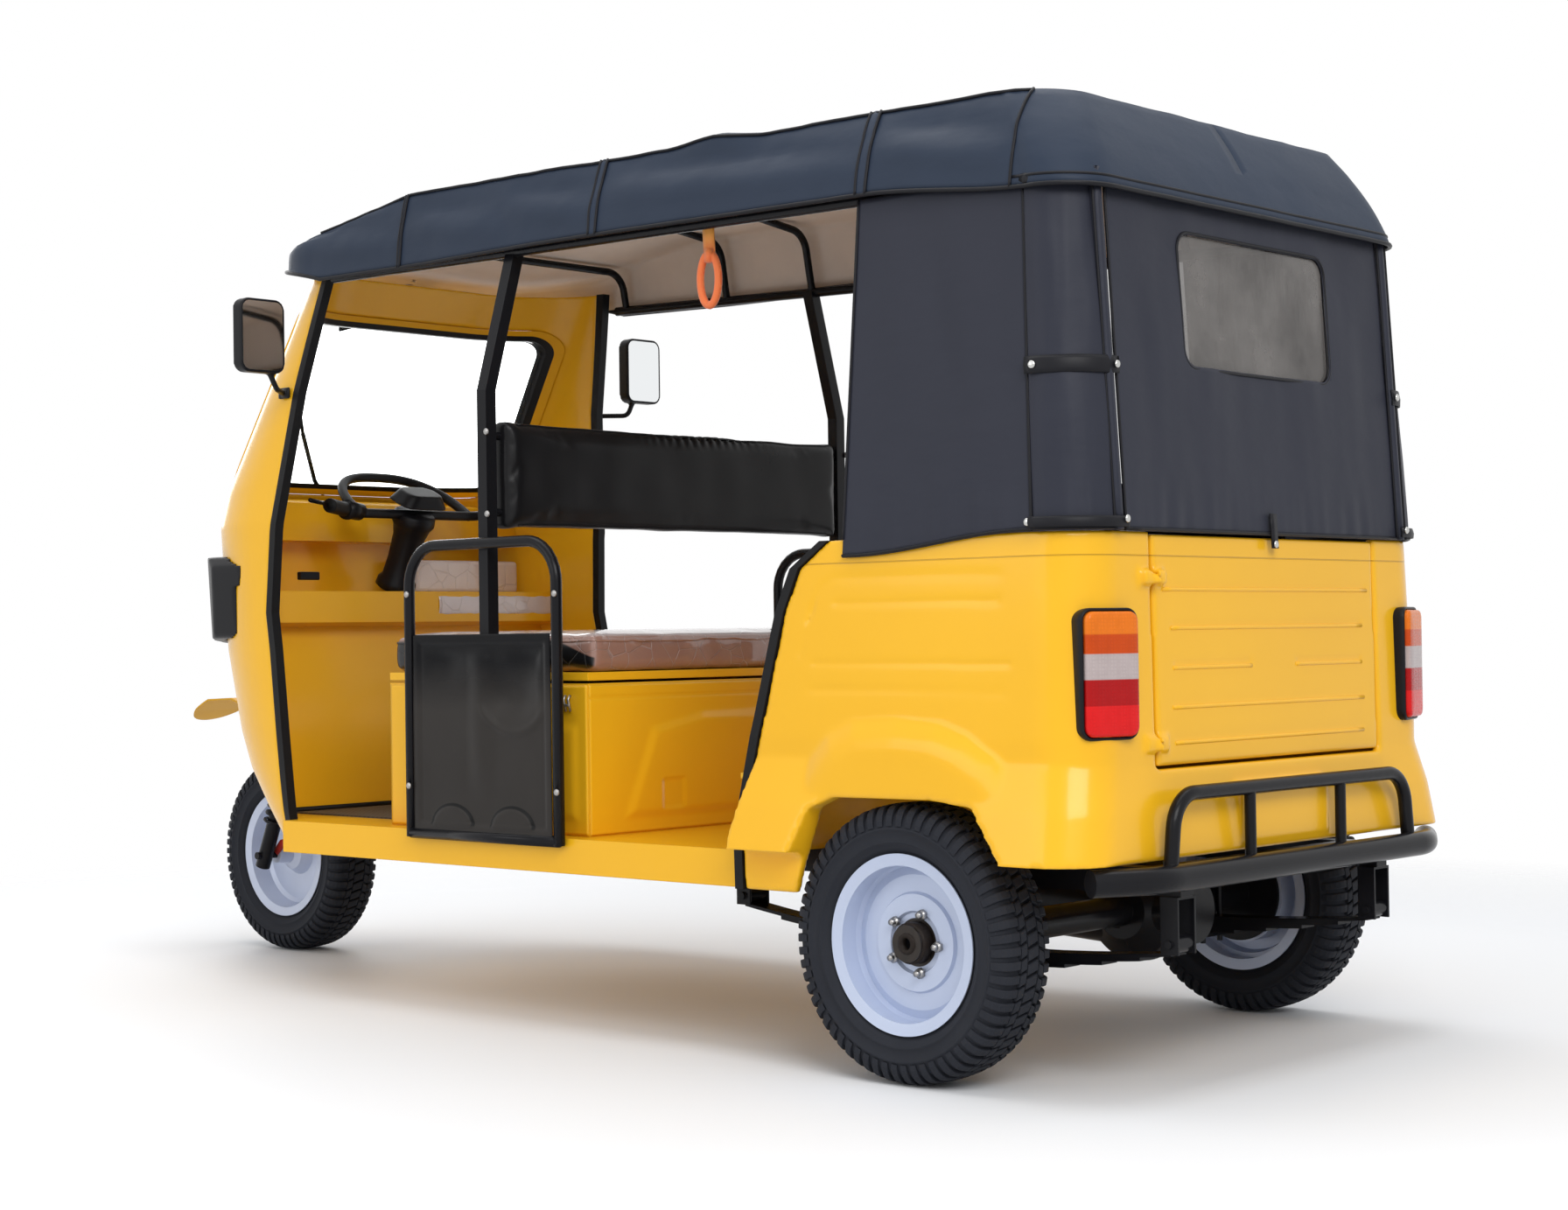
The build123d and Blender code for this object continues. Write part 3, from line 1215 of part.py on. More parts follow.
with BuildPart() as leaf_springs:
    for side in (-1, 1):
        for place, share in enumerate(LEAVES):
            depth = SPRING_SEAT - LEAF * (place + 1)
            ring = SPRING_BOW + LEAF * (place + 1)
            with BuildSketch(Plane.YZ.offset(side * SPRING_X - LEAF_WIDE / 2)) as leaf:
                with Locations((fore(0), depth + ring)):
                    Circle(ring)
                    Circle(ring - LEAF, mode=Mode.SUBTRACT)
                with Locations((fore((EYE_FRONT + EYE_REAR) / 2 * share), depth + 60)):
                    Rectangle((EYE_FRONT - EYE_REAR) * share, 200, mode=Mode.INTERSECT)
            extrude(leaf.sketch, amount=LEAF_WIDE)
        for station in (EYE_FRONT, EYE_REAR):
            cross_rod(side * SPRING_X, station, LEAF_WIDE / 2, EYE_RADIUS)
        for station in (EYE_FRONT, EYE_REAR):
            cross_rod(side * SPRING_X, station, LEAF_WIDE, EYE_PIN + FIT, Mode.SUBTRACT)
save(leaf_springs, "leaf_springs")

# ---------------------------------------------------------------- steering
CROWN_LOW, CROWN_HIGH = 575.0, 612.0
rake = math.radians(STEER_RAKE)
AXLE_ALONG = (STEER_FOOT - WHEELBASE) * math.sin(rake) + TYRE_RADIUS * math.cos(rake)
AXLE_AHEAD = TYRE_RADIUS * math.sin(rake) - (STEER_FOOT - WHEELBASE) * math.cos(rake)
BAR_ALONG = 1296.0
STEM_TOP = BAR_ALONG - 26
with BuildPart() as steering_fork:
    rod(steer(CROWN_LOW, 0), steer(STEM_TOP, 0), STEM_RADIUS)
    for side in (-1, 1):
        x = side * FORK_LEG_HALF
        rod(steer(AXLE_ALONG - 34, AXLE_AHEAD, x), steer(CROWN_HIGH, AXLE_AHEAD, x), FORK_LEG)
    crown = Plane(
        origin=steer(CROWN_LOW, 0), x_dir=(1, 0, 0), z_dir=(0, math.sin(rake), math.cos(rake))
    )
    with BuildSketch(crown) as plate:
        with Locations((0, -AXLE_AHEAD / 2)):
            RectangleRounded(2 * FORK_LEG_HALF + 56, AXLE_AHEAD + 56, 24)
    extrude(plate.sketch, amount=CROWN_HIGH - CROWN_LOW - 8)
    rod(
        (-FORK_LEG_HALF - 30, fore(WHEELBASE), TYRE_RADIUS),
        (FORK_LEG_HALF + 30, fore(WHEELBASE), TYRE_RADIUS),
        FRONT_AXLE,
    )
save(steering_fork, "steering_fork")

BAR_TUBE, GRIP = 11.0, 17.0
BAR_HALF, BAR_SWEEP, BAR_RISE = 365.0, 96.0, 54.0  # how far the grips lie out, back and up
HOOP_RADIUS = 185.0
with BuildPart() as handlebar:
    points = (
        steer(BAR_ALONG + BAR_RISE, -BAR_SWEEP, -BAR_HALF),
        steer(BAR_ALONG, 0, -BAR_HALF / 2),
        steer(BAR_ALONG, 0, BAR_HALF / 2),
        steer(BAR_ALONG + BAR_RISE, -BAR_SWEEP, BAR_HALF),
    )
    tube(points, BAR_TUBE, 60)
    for side in (-1, 1):
        rod(
            steer(BAR_ALONG + BAR_RISE * 0.4, -BAR_SWEEP * 0.4, side * BAR_HALF * 0.7),
            steer(BAR_ALONG + BAR_RISE, -BAR_SWEEP, side * BAR_HALF),
            GRIP,
        )
    # half hoop ahead of the bar, in the plane square to the column
    tube(
        (
            steer(BAR_ALONG, -6, -HOOP_RADIUS),
            steer(BAR_ALONG + 24, 90, -HOOP_RADIUS + 4),
            steer(BAR_ALONG + 30, 190, -100),
            steer(BAR_ALONG + 30, 190, 100),
            steer(BAR_ALONG + 24, 90, HOOP_RADIUS - 4),
            steer(BAR_ALONG, -6, HOOP_RADIUS),
        ),
        BAR_TUBE + 2,
        60,
    )
    rod(steer(STEM_TOP + FIT, 0), steer(BAR_ALONG + 30, 0), 24)
save(handlebar, "handlebar")

with BuildPart() as display_pod:
    pod = Plane(
        origin=steer(BAR_ALONG + 30 + FIT, 0), x_dir=(1, 0, 0), z_dir=(0, math.sin(rake), math.cos(rake))
    )
    with BuildSketch(pod) as low:
        RectangleRounded(150, 100, 30)
    with BuildSketch(pod.offset(34)) as high:
        RectangleRounded(110, 76, 30)
    loft([low.sketch.face(), high.sketch.face()], ruled=True)
save(display_pod, "display_pod")

GUARD_HALF, GUARD_LIP, GUARD_NOSE = 92.0, 5.0, 150.0
# station and height along the mudguard's upper face, from its tip back over the tyre
GUARD_TOP = ((FRONT_REACH, 626), (3066, 661), (2990, 690), (2880, 694), (2760, 655))
GUARD_TOP += ((2600, 574), (2560, 560))  # and on under the fork crown
with BuildPart() as front_mudguard:
    under = [(s, z - GUARD_LIP) for s, z in GUARD_TOP[:0:-1]]
    side_profile(GUARD_TOP + tuple(under), -GUARD_HALF, GUARD_HALF)
    with BuildSketch(Plane.XY.offset(500)) as plan:
        with BuildLine():
            Spline(
                (-GUARD_HALF, fore(FRONT_REACH - GUARD_NOSE)),
                (0, fore(FRONT_REACH)),
                (GUARD_HALF, fore(FRONT_REACH - GUARD_NOSE)),
                tangents=((0, -1), (1, 0), (0, 1)),
            )
            Polyline(
                (GUARD_HALF, fore(FRONT_REACH - GUARD_NOSE)),
                (GUARD_HALF, fore(2500)),
                (-GUARD_HALF, fore(2500)),
                (-GUARD_HALF, fore(FRONT_REACH - GUARD_NOSE)),
            )
        make_face()
    extrude(plan.sketch, amount=300, mode=Mode.INTERSECT)
save(front_mudguard, "front_mudguard")
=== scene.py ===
# %% [markdown]
# # A three-wheeled auto rickshaw, dressed for its picture
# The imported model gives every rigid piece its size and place. This lesson gives those pieces
# their paint, rubber and glass, sews the canvas and the seats, and cuts the tyres' tread.
# Everything is in metres: +Z is up, -Y is forwards and +X is the vehicle's left side.

# %% Load the frame
import json
import math
from contextlib import contextmanager

import bmesh
import bpy
import numpy as np
from mathutils import Matrix, Vector, noise

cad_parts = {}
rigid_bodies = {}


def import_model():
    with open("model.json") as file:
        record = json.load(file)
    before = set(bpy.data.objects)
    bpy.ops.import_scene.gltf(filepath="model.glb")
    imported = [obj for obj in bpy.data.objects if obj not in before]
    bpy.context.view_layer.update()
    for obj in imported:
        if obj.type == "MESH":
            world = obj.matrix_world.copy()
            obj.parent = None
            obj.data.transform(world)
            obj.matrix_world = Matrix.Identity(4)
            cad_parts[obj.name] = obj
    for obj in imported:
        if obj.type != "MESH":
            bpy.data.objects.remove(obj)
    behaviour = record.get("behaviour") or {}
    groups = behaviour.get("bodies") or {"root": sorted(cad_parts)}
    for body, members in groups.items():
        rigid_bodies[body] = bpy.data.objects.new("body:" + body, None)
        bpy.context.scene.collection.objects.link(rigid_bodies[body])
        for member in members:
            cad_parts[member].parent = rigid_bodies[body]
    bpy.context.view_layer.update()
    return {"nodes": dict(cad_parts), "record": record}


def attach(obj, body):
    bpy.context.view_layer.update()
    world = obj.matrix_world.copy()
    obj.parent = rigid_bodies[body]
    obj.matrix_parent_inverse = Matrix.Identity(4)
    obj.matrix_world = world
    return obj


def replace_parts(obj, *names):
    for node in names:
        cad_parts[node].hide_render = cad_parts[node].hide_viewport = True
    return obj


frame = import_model()
nodes = frame["nodes"]
stage = bpy.context.scene

# %% Places and small helpers
REAR_AXLE_Y, FRONT_AXLE, TYRE_RADIUS = 1.3145, 2.693, 0.265
SIDES = ((1, "left"), (-1, "right"))
known = {thing.name for thing in bpy.data.objects}


def tell(title):
    """Prints the objects that a cell has added."""
    added = [thing.name for thing in bpy.data.objects if thing.name not in known]
    known.update(added)
    print(title, added)


def fore(station):
    """Y of a place that far ahead of the rear axle."""
    return REAR_AXLE_Y - station


def mirrored(side, point):
    """The point on the vehicle's left (1) or right (-1) side."""
    return Vector((side * point[0], point[1], point[2]))


def linked(name, data):
    """A new object in the scene."""
    made = bpy.data.objects.new(name, data)
    stage.collection.objects.link(made)
    return made


def mesh_of(name, points, faces):
    mesh = bpy.data.meshes.new(name)
    mesh.from_pydata([tuple(p) for p in points], [], faces)
    return mesh


def smooth(mesh):
    """Shades all faces as one curved skin."""
    mesh.polygons.foreach_set("use_smooth", [True] * len(mesh.polygons))


# %% [markdown]
# ## Camera
# A picture taken close to a long vehicle has strong perspective, so the camera's place matters
# more than its lens. It stands low behind the rear left wheel and looks forwards along the side.

# %% Set the camera
CAMERA_AT = Vector((4.302, 4.3535, 0.850))
LENS, SENSOR = 58.14, 36.0  # millimetres

camera_data = bpy.data.cameras.new("camera")
camera_data.lens, camera_data.sensor_width, camera_data.sensor_fit = LENS, SENSOR, "HORIZONTAL"
camera = linked("camera", camera_data)
sight = Vector((-0.7404, -0.6721, 0.0116)).normalized()
camera_right = sight.cross(Vector((-0.0009, 0.0183, 0.9998))).normalized()
turn = Matrix((camera_right, camera_right.cross(sight), -sight)).transposed()
camera.matrix_world = Matrix.Translation(CAMERA_AT) @ turn.to_4x4()
stage.camera = camera
tell("camera")

# %% [markdown]
# ## Studio
# A product picture has a floor that fades into a white background. The floor is a plane whose
# colour the camera sees as white far away, while near the wheels it keeps their soft shadow.

# %% Shader arithmetic
class Wire:
    """A shader socket that takes part in Python arithmetic."""

    def __init__(self, tree, socket):
        self.tree, self.socket = tree, socket

    def math(self, operation, *others):
        node = self.tree.nodes.new("ShaderNodeMath")
        node.operation = operation
        for slot, value in zip(node.inputs, (self, *others)):
            plug(self.tree, slot, value)
        return Wire(self.tree, node.outputs[0])

    def __add__(self, other):
        return self.math("ADD", other)

    def __sub__(self, other):
        return self.math("SUBTRACT", other)

    def __mul__(self, other):
        return self.math("MULTIPLY", other)

    def __truediv__(self, other):
        return self.math("DIVIDE", other)

    def __rsub__(self, other):
        return (self * -1.0) + other

    __radd__, __rmul__ = __add__, __mul__

    def __abs__(self):
        return self.math("ABSOLUTE")

    def limited(self):
        """The value, kept from 0 to 1."""
        return self.math("MAXIMUM", 0.0).math("MINIMUM", 1.0)

    def above(self, edge, soft=0.0):
        """1 where the value is over edge, 0 below, with a ramp of that softness."""
        return ((self - edge) / soft + 0.5).limited() if soft else self.math("GREATER_THAN", edge)

    def between(self, low, high, soft=0.001):
        return self.above(low, soft) * (1.0 - self.above(high, soft))

    def length(self, other):
        """How far a place is from the origin, from two of its coordinates."""
        return (self * self + other * other).math("SQRT")


def plug(tree, slot, value):
    """Sets a socket to a number, a colour or another socket's value."""
    if isinstance(value, Wire):
        tree.links.new(value.socket, slot)
    elif value is not None:
        slot.default_value = (*value, 1.0) if slot.type == "RGBA" and len(value) == 3 else value


def blend_shaders(tree, factor, low, high, end):
    """Shows one shader or the other, as the factor says."""
    node = tree.nodes.new("ShaderNodeMixShader")
    for slot, wire in zip(node.inputs, (factor, Wire(tree, low), Wire(tree, high))):
        plug(tree, slot, wire)
    tree.links.new(node.outputs[0], end.inputs[0])


class Finish:
    """A material, the slot that its pieces take, and the few nodes that it is written with."""

    def __init__(self, name, slot=None, **sockets):
        self.material, self.slot = bpy.data.materials.new(name), slot
        self.material.use_nodes = True
        self.tree = self.material.node_tree
        self.shader = self.tree.nodes["Principled BSDF"]
        self.set(**sockets)

    def set(self, **sockets):
        """Sets the shader's sockets: Base_Color=..., Roughness=..."""
        for name, value in sockets.items():
            plug(self.tree, self.shader.inputs[name.replace("_", " ")], value)
        return self

    def node(self, kind, settings=(), output=0, **sockets):
        """Adds a node with its settings, and gives back one of its outputs."""
        node = self.tree.nodes.new("ShaderNode" + kind)
        for name, value in dict(settings).items():
            setattr(node, name, value)
        for name, value in sockets.items():
            slots = [s for s in node.inputs if s.name == name.replace("_", " ") and s.enabled]
            plug(self.tree, slots[0], value)
        return Wire(self.tree, node.outputs[output])

    def place(self, axis=None):
        """The point on the piece, or one of its coordinates, in metres."""
        point = self.node("TexCoord", output=3)
        return point if axis is None else self.node("SeparateXYZ", output="xyz".index(axis), Vector=point)

    def noise(self, scale, detail=3.0, roughness=0.55, stretch=None):
        point = self.place()
        if stretch:
            point = self.node("Mapping", Vector=point, Scale=stretch)
        return self.node("TexNoise", Vector=point, Scale=scale, Detail=detail, Roughness=roughness)

    def mix(self, factor, low, high):
        """A colour between low and high."""
        node = self.tree.nodes.new("ShaderNodeMix")
        node.data_type = "RGBA"
        for number, value in ((0, factor), (6, low), (7, high)):
            plug(self.tree, node.inputs[number], value)
        return Wire(self.tree, node.outputs[2])

    def bump(self, height, depth, strength=1.0, normal=None):
        """Roughens the surface: height is 0 to 1 and depth its size in metres."""
        return self.node("Bump", Height=height, Distance=depth, Strength=strength, Normal=normal)

    def relief(self, *layers, edge=None):
        """Bumps from noise: each layer is a noise's settings, a depth and a strength; edge rounds edges."""
        normal = self.node("Bevel", {"samples": 4}, Radius=edge) if edge else None
        for settings, depth, strength in layers:
            normal = self.bump(self.noise(*settings), depth, strength, normal)
        return self.set(Normal=normal)


def patchy(name, low, high, patches, rough=None, relief=(), edge=None, **sockets):
    """A finish in patches of two colours; rough is a roughness and how far the patches vary it."""
    finish = Finish(name, **sockets)
    spread = finish.noise(*patches)
    finish.set(Base_Color=finish.mix(spread, low, high))
    if rough:
        finish.set(Roughness=spread * rough[1] + rough[0])
    return finish.relief(*relief, edge=edge)


def simple(name, colour, roughness, slot=None, grain=160.0, depth=0.0002, edge=0.002, **more):
    """A finish with a fine grain, slightly mottled, with eased edges."""
    darker, layers = tuple(c * 0.75 for c in colour), [((grain, 2.0), depth, 0.5)]
    more = {"Specular_IOR_Level": 0.15, **more}
    return patchy(name, darker, colour, (6.0, 5.0), (roughness - 0.05, 0.1), layers, edge, slot=slot, **more)


def dress(finish, *names):
    """Gives CAD nodes or pieces a finish."""
    for name in names:
        thing = nodes[name] if isinstance(name, str) else name
        thing.data.materials.clear()
        thing.data.materials.append(finish.material)


# %% Floor, world and lamps
FLOOR_REACH, FADE_NEAR, FADE_FAR = 40.0, 2.6, 4.2  # half the floor, and where it starts and ends to fade


def studio_floor():
    """A white floor that fades out round the object."""
    corners = [(x * FLOOR_REACH, y * FLOOR_REACH, 0) for x, y in ((-1, -1), (1, -1), (1, 1), (-1, 1))]
    floor = linked("floor", mesh_of("floor", corners, [(0, 1, 2, 3)]))
    finish = Finish("floor", Base_Color=(0.87, 0.875, 0.885), Roughness=0.6, Specular_IOR_Level=0.1)
    reach = finish.node("VectorMath", {"operation": "LENGTH"}, output=1, Vector=finish.place())
    fade = ((reach - FADE_NEAR) / (FADE_FAR - FADE_NEAR)).limited()
    clear, end = finish.node("BsdfTransparent"), finish.tree.nodes["Material Output"]
    blend_shaders(finish.tree, fade, finish.shader.outputs[0], clear.socket, end)
    floor.data.materials.append(finish.material)


def studio_world():
    """Soft light from all round, seen as plain white by the camera, in glass and in gloss."""
    world = stage.world = bpy.data.worlds.new("studio")
    world.use_nodes = True
    tree = world.node_tree
    tree.nodes.clear()
    kinds = ("LightPath", "Background", "Background", "OutputWorld")
    path, soft, white, end = (tree.nodes.new("ShaderNode" + kind) for kind in kinds)
    for shade, colour, strength in ((soft, (0.93, 0.96, 1.0, 1), 0.5), (white, (1, 1, 1, 1), 1.0)):
        shade.inputs[0].default_value, shade.inputs[1].default_value = colour, strength
    seen = Wire(tree, path.outputs["Is Camera Ray"])
    for kind in ("Is Glossy Ray", "Is Transmission Ray"):
        seen = seen.math("MAXIMUM", Wire(tree, path.outputs[kind]))
    blend_shaders(tree, seen, soft.outputs[0], white.outputs[0], end)


def softbox(name, at, aim, size, watts):
    """A rectangular area lamp that faces a point."""
    lamp = bpy.data.lights.new(name, "AREA")
    lamp.shape, lamp.energy = "RECTANGLE", watts
    lamp.size, lamp.size_y = size
    turn = (Vector(aim) - Vector(at)).to_track_quat("-Z", "Y").to_matrix().to_4x4()
    linked(name, lamp).matrix_world = Matrix.Translation(at) @ turn


studio_floor()
studio_world()
softbox("key", (3.5, 6.0, 4.5), (0, 0.6, 0.9), (4.0, 3.0), 260)
softbox("side", (7.0, -1.5, 3.2), (0, 0, 0.9), (5.0, 3.0), 92)
softbox("top", (0.0, 0.0, 5.5), (0, 0, 0), (5.0, 6.0), 190)
softbox("front", (-3.0, -6.0, 3.0), (0, -1, 1), (4.0, 3.0), 90)
stage.view_settings.view_transform = "Standard"
tell("studio")

# %% [markdown]
# ## Finishes
# Enamel, powder coat, rubber and canvas differ less in colour than in how they break up light.
# Each is two shades of one colour in patches, with a roughness and a grain of its own.

# %% Paints, rubbers and canvas
PAINT_DEEP, PAINT_LIGHT = (0.86, 0.445, 0.010), (0.94, 0.505, 0.016)
DEEP_BLACK, SOFT_GRAIN = (0.009, 0.009, 0.010), ((160.0, 2.0), 0.0003, 0.3)
GLOSS = {"Roughness": 0.27, "Specular_IOR_Level": 0.2, "Coat_Weight": 0.28, "Coat_Roughness": 0.12}
yellow = patchy(
    "yellow_enamel", PAINT_DEEP, PAINT_LIGHT, (2.2, 4.0), relief=[((7.0, 2.0), 0.004, 0.25)],
    edge=0.004, **GLOSS,
)
black_paint = simple("black_paint", (0.009, 0.009, 0.011), 0.24)
rubber = simple("rubber", DEEP_BLACK, 0.5)
moulded = simple("moulded_plastic", (0.010, 0.010, 0.012), 0.38, grain=420.0)
FOLDS = (  # long soft dents left by folding, finer creases and the weave
    ((3.2, 3.0, 0.5, (1.0, 1.0, 2.2)), 0.012, 0.35), ((14.0, 3.0, 0.6, (1.0, 0.6, 1.6)), 0.0025, 0.35),
    ((1500.0, 1.0), 0.0003, 0.3),
)
CANVAS = {
    "patches": (2.6, 5.0, 0.6), "rough": (0.34, 0.25), "relief": FOLDS, "slot": "canopy_canvas",
    "Specular_IOR_Level": 0.14,
}
canvas = patchy("canvas", (0.022, 0.024, 0.035), (0.034, 0.036, 0.050), **CANVAS)
hood_canvas = patchy("hood_canvas", (0.017, 0.026, 0.045), (0.030, 0.042, 0.068), **CANVAS)
canvas_edge = simple("canvas_binding", (0.012, 0.012, 0.015), 0.42, "canopy_canvas", grain=700.0)
liner_cloth = simple("hood_lining", (0.80, 0.69, 0.60), 0.8, "canopy_canvas", grain=800.0, depth=0.0004)
silver = simple("silver_paint", (0.63, 0.69, 0.85), 0.34, Metallic=0.2, Specular_IOR_Level=0.5)
steel = simple("bright_steel", (0.62, 0.62, 0.60), 0.25, "mirror_silver", Metallic=1.0)
zinc = simple("zinc", (0.42, 0.41, 0.40), 0.34, "mirror_silver", Metallic=0.9)
clear_glass = Finish("glass", Base_Color=(0.95, 0.97, 0.97), Roughness=0.03, Transmission_Weight=1.0, IOR=1.1)
mirror_glass = Finish("mirror_glass", Base_Color=(0.85, 0.87, 0.88), Roughness=0.03, Metallic=1.0)
FINISH_OF = {
    "body_yellow": yellow,
    "frame_black": black_paint,
    "trim_rubber": rubber,
    "moulded_black": moulded,
    "clear_glass": clear_glass,
    "lamp_red": simple("amber_lens", (0.80, 0.20, 0.02), 0.15),
    "canopy_canvas": canvas,
    "seat_leather": simple("leather", (0.02, 0.019, 0.02), 0.36, grain=260.0),
    "mirror_silver": mirror_glass,
    "wheel_silver": silver,
    "tyre_rubber": simple("tyre_rubber", (0.018, 0.018, 0.019), 0.7),
    "battery_case": simple("battery_case", (0.03, 0.03, 0.035), 0.5),
}
for slot, finish in FINISH_OF.items():
    finish.slot = slot
for part in frame["record"]["subparts"]:
    dress(FINISH_OF[part["material_slot"]], part["node"])
print("finishes", [material.name for material in bpy.data.materials])

# %% [markdown]
# ## Mesh helpers
# Most pieces here are a grid of points bent into shape, or a bar swept along a path. Small
# functions make both, turn their faces outwards, weld their seams and give sheets a thickness.

# %% Grids, bars and outlines
def piece(name, points, faces, finish, body="chassis", slot=None):
    """A mesh object that rides on a body."""
    mesh = mesh_of(name, points, faces)
    mesh.validate()
    made = linked(name, mesh)
    mesh.materials.append(finish.material)
    smooth(mesh)
    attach(made, body)
    slot or finish.slot
    return made


def grid_faces(rows, columns, wrap=False, start=0):
    """Quads over rows of points, joined round to the first column if wrap."""
    faces = []
    for r in range(rows - 1):
        for c in range(columns if wrap else columns - 1):
            after = (c + 1) % columns
            low, high = start + r * columns, start + (r + 1) * columns
            faces.append((low + c, low + after, high + after, high + c))
    return faces


def grid(name, rows, finish, wrap=False, **more):
    """A piece from rows of points."""
    points = [p for row in rows for p in row]
    return piece(name, points, grid_faces(len(rows), len(rows[0]), wrap), finish, **more)


def spokes(count):
    """Cosine and sine of places shared out round a circle."""
    return [(math.cos(2 * math.pi * k / count), math.sin(2 * math.pi * k / count)) for k in range(count)]


def ends(rows, columns, start=0):
    """The two faces that close a tube of rings."""
    last = start + (rows - 1) * columns
    return [tuple(start + k for k in reversed(range(columns))), tuple(last + k for k in range(columns))]


def ring_round(rows, columns):
    """The faces that join a tube's last ring to its first."""
    last = (rows - 1) * columns
    return [(last + k, last + (k + 1) % columns, (k + 1) % columns, k) for k in range(columns)]


def bar_mesh(path, radius, sides=10, closed=False, flat=1.0):
    """Points and faces of a bar along a path, whose sides never twist; flat squeezes its section."""
    path = [Vector(p) for p in path]
    count = len(path)
    side, points = None, []
    for i, at in enumerate(path):
        back = path[i - 1] if closed or i else path[0]
        ahead = path[(i + 1) % count] if closed or i < count - 1 else path[-1]
        way = (ahead - back).normalized()
        side = side or way.orthogonal().normalized()
        side = (side - way * side.dot(way)).normalized()
        high = way.cross(side)
        size = radius[i] if hasattr(radius, "__len__") else radius
        points += [at + side * c * size + high * s * size * flat for c, s in spokes(sides)]
    faces = grid_faces(count, sides, wrap=True)
    return points, faces + (ring_round(count, sides) if closed else ends(count, sides))


def joined(blocks):
    """One list of points and one of faces from several."""
    points, faces = [], []
    for some, joins in blocks:
        faces += [tuple(len(points) + i for i in face) for face in joins]
        points += some
    return points, faces


def bars(name, paths, radius, finish, body="chassis", slot=None, **more):
    """One piece of several bars."""
    points, faces = joined([bar_mesh(path, radius, **more) for path in paths])
    return outward(piece(name, points, faces, finish, body, slot))


@contextmanager
def editing(mesh):
    """A bmesh of the mesh, which is written back at the end."""
    work = bmesh.new()
    work.from_mesh(mesh)
    yield work
    work.to_mesh(mesh)
    work.free()


def outward(made, weld=0.0):
    """Turns a piece's faces outwards, after welding points that are closer than weld."""
    with editing(made.data) as work:
        if weld:
            bmesh.ops.remove_doubles(work, verts=work.verts, dist=weld)
        bmesh.ops.recalc_face_normals(work, faces=work.faces)
    return made


def merged(made):
    """Welds points that lie on one another."""
    smooth(outward(made, 0.0004).data)
    return made


def shaped(made):
    """A new mesh of a piece as its modifiers leave it, which are then cleared."""
    mesh = bpy.data.meshes.new_from_object(made.evaluated_get(bpy.context.evaluated_depsgraph_get()))
    made.modifiers.clear()
    return mesh


def settle(made, *modifiers):
    """Adds modifiers, each a type and its settings, and applies them to the mesh."""
    for kind, settings in modifiers:
        modifier = made.modifiers.new(kind.lower(), kind)
        for name, value in settings.items():
            setattr(modifier, name, value)
    bpy.context.view_layer.update()
    made.data = shaped(made)
    return made


def wall(made, thickness):
    """Gives a sheet its thickness, half each way."""
    return settle(made, ("SOLIDIFY", {"thickness": thickness, "offset": 0.0}))


def cloth(made, thickness=0.0018):
    """Gives a canvas its thickness."""
    wall(made, thickness)


def ridge(value, centre, half):
    """A soft bump, 1 at its centre and 0 beyond half either way."""
    share = abs(value - centre) / half
    return (1 + math.cos(math.pi * share)) / 2 if share < 1 else 0.0


def smooth_step(value, low, high):
    share = min(max((value - low) / (high - low), 0.0), 1.0)
    return share * share * (3 - 2 * share)


def waves(point, size, seed=0.0):
    """Smooth noise from -1 to 1 with waves of about that size in metres."""
    return noise.noise(Vector(point) / size + Vector((seed, seed * 1.7, -seed)))


# %% [markdown]
# ## Canvas hood
# The hood is one sewn sheet pulled over bent tubes. Its outline in plan is a rounded trapezoid,
# so every level of it, from the hem up to the crown, is a ring with the same number of points.
# Between the hem and the crease the canvas bellies out a little, and each panel has a slack fold.

# %% The hood's levels
HOOD_PITCH = math.tan(math.radians(1.27))
HEM_Z, HOOD_DEPTH, CROWN_RISE = 1.656, 0.193, 0.020
HOOD_REAR, HOOD_REAR_HALF = 0.406, 0.607  # behind the rear axle, half width
HOOD_FRONT, HOOD_FRONT_HALF = 2.195, 0.500  # ahead of the rear axle, half width
CREASE_SIDE, CREASE_SIDE_FRONT, CREASE_REAR = 0.066, 0.022, 0.106
CROWN_IN = 0.200
REAR_CORNER, FRONT_CORNER = 0.115, 0.230
VISOR_BREAK, VISOR_TOP, VISOR_FALL = 1.570, 1.893, 0.1408
HEM_BREAK, HEM_FALL, HEM_RUN = 1.905, 0.084, 0.31
SIDE_STEPS, ARC_STEPS, END_STEPS = 150, 12, 16
BELT_STATIONS = {0.120: 0.013, 0.905: 0.011, 1.590: 0.004}  # a belt's station and half width
HEM_LIFT, HEM_LIFT_FRONT = 0.028, 0.019  # how far the hem is drawn up along the sides, and at the cowl
HOOP_STATION = -0.250


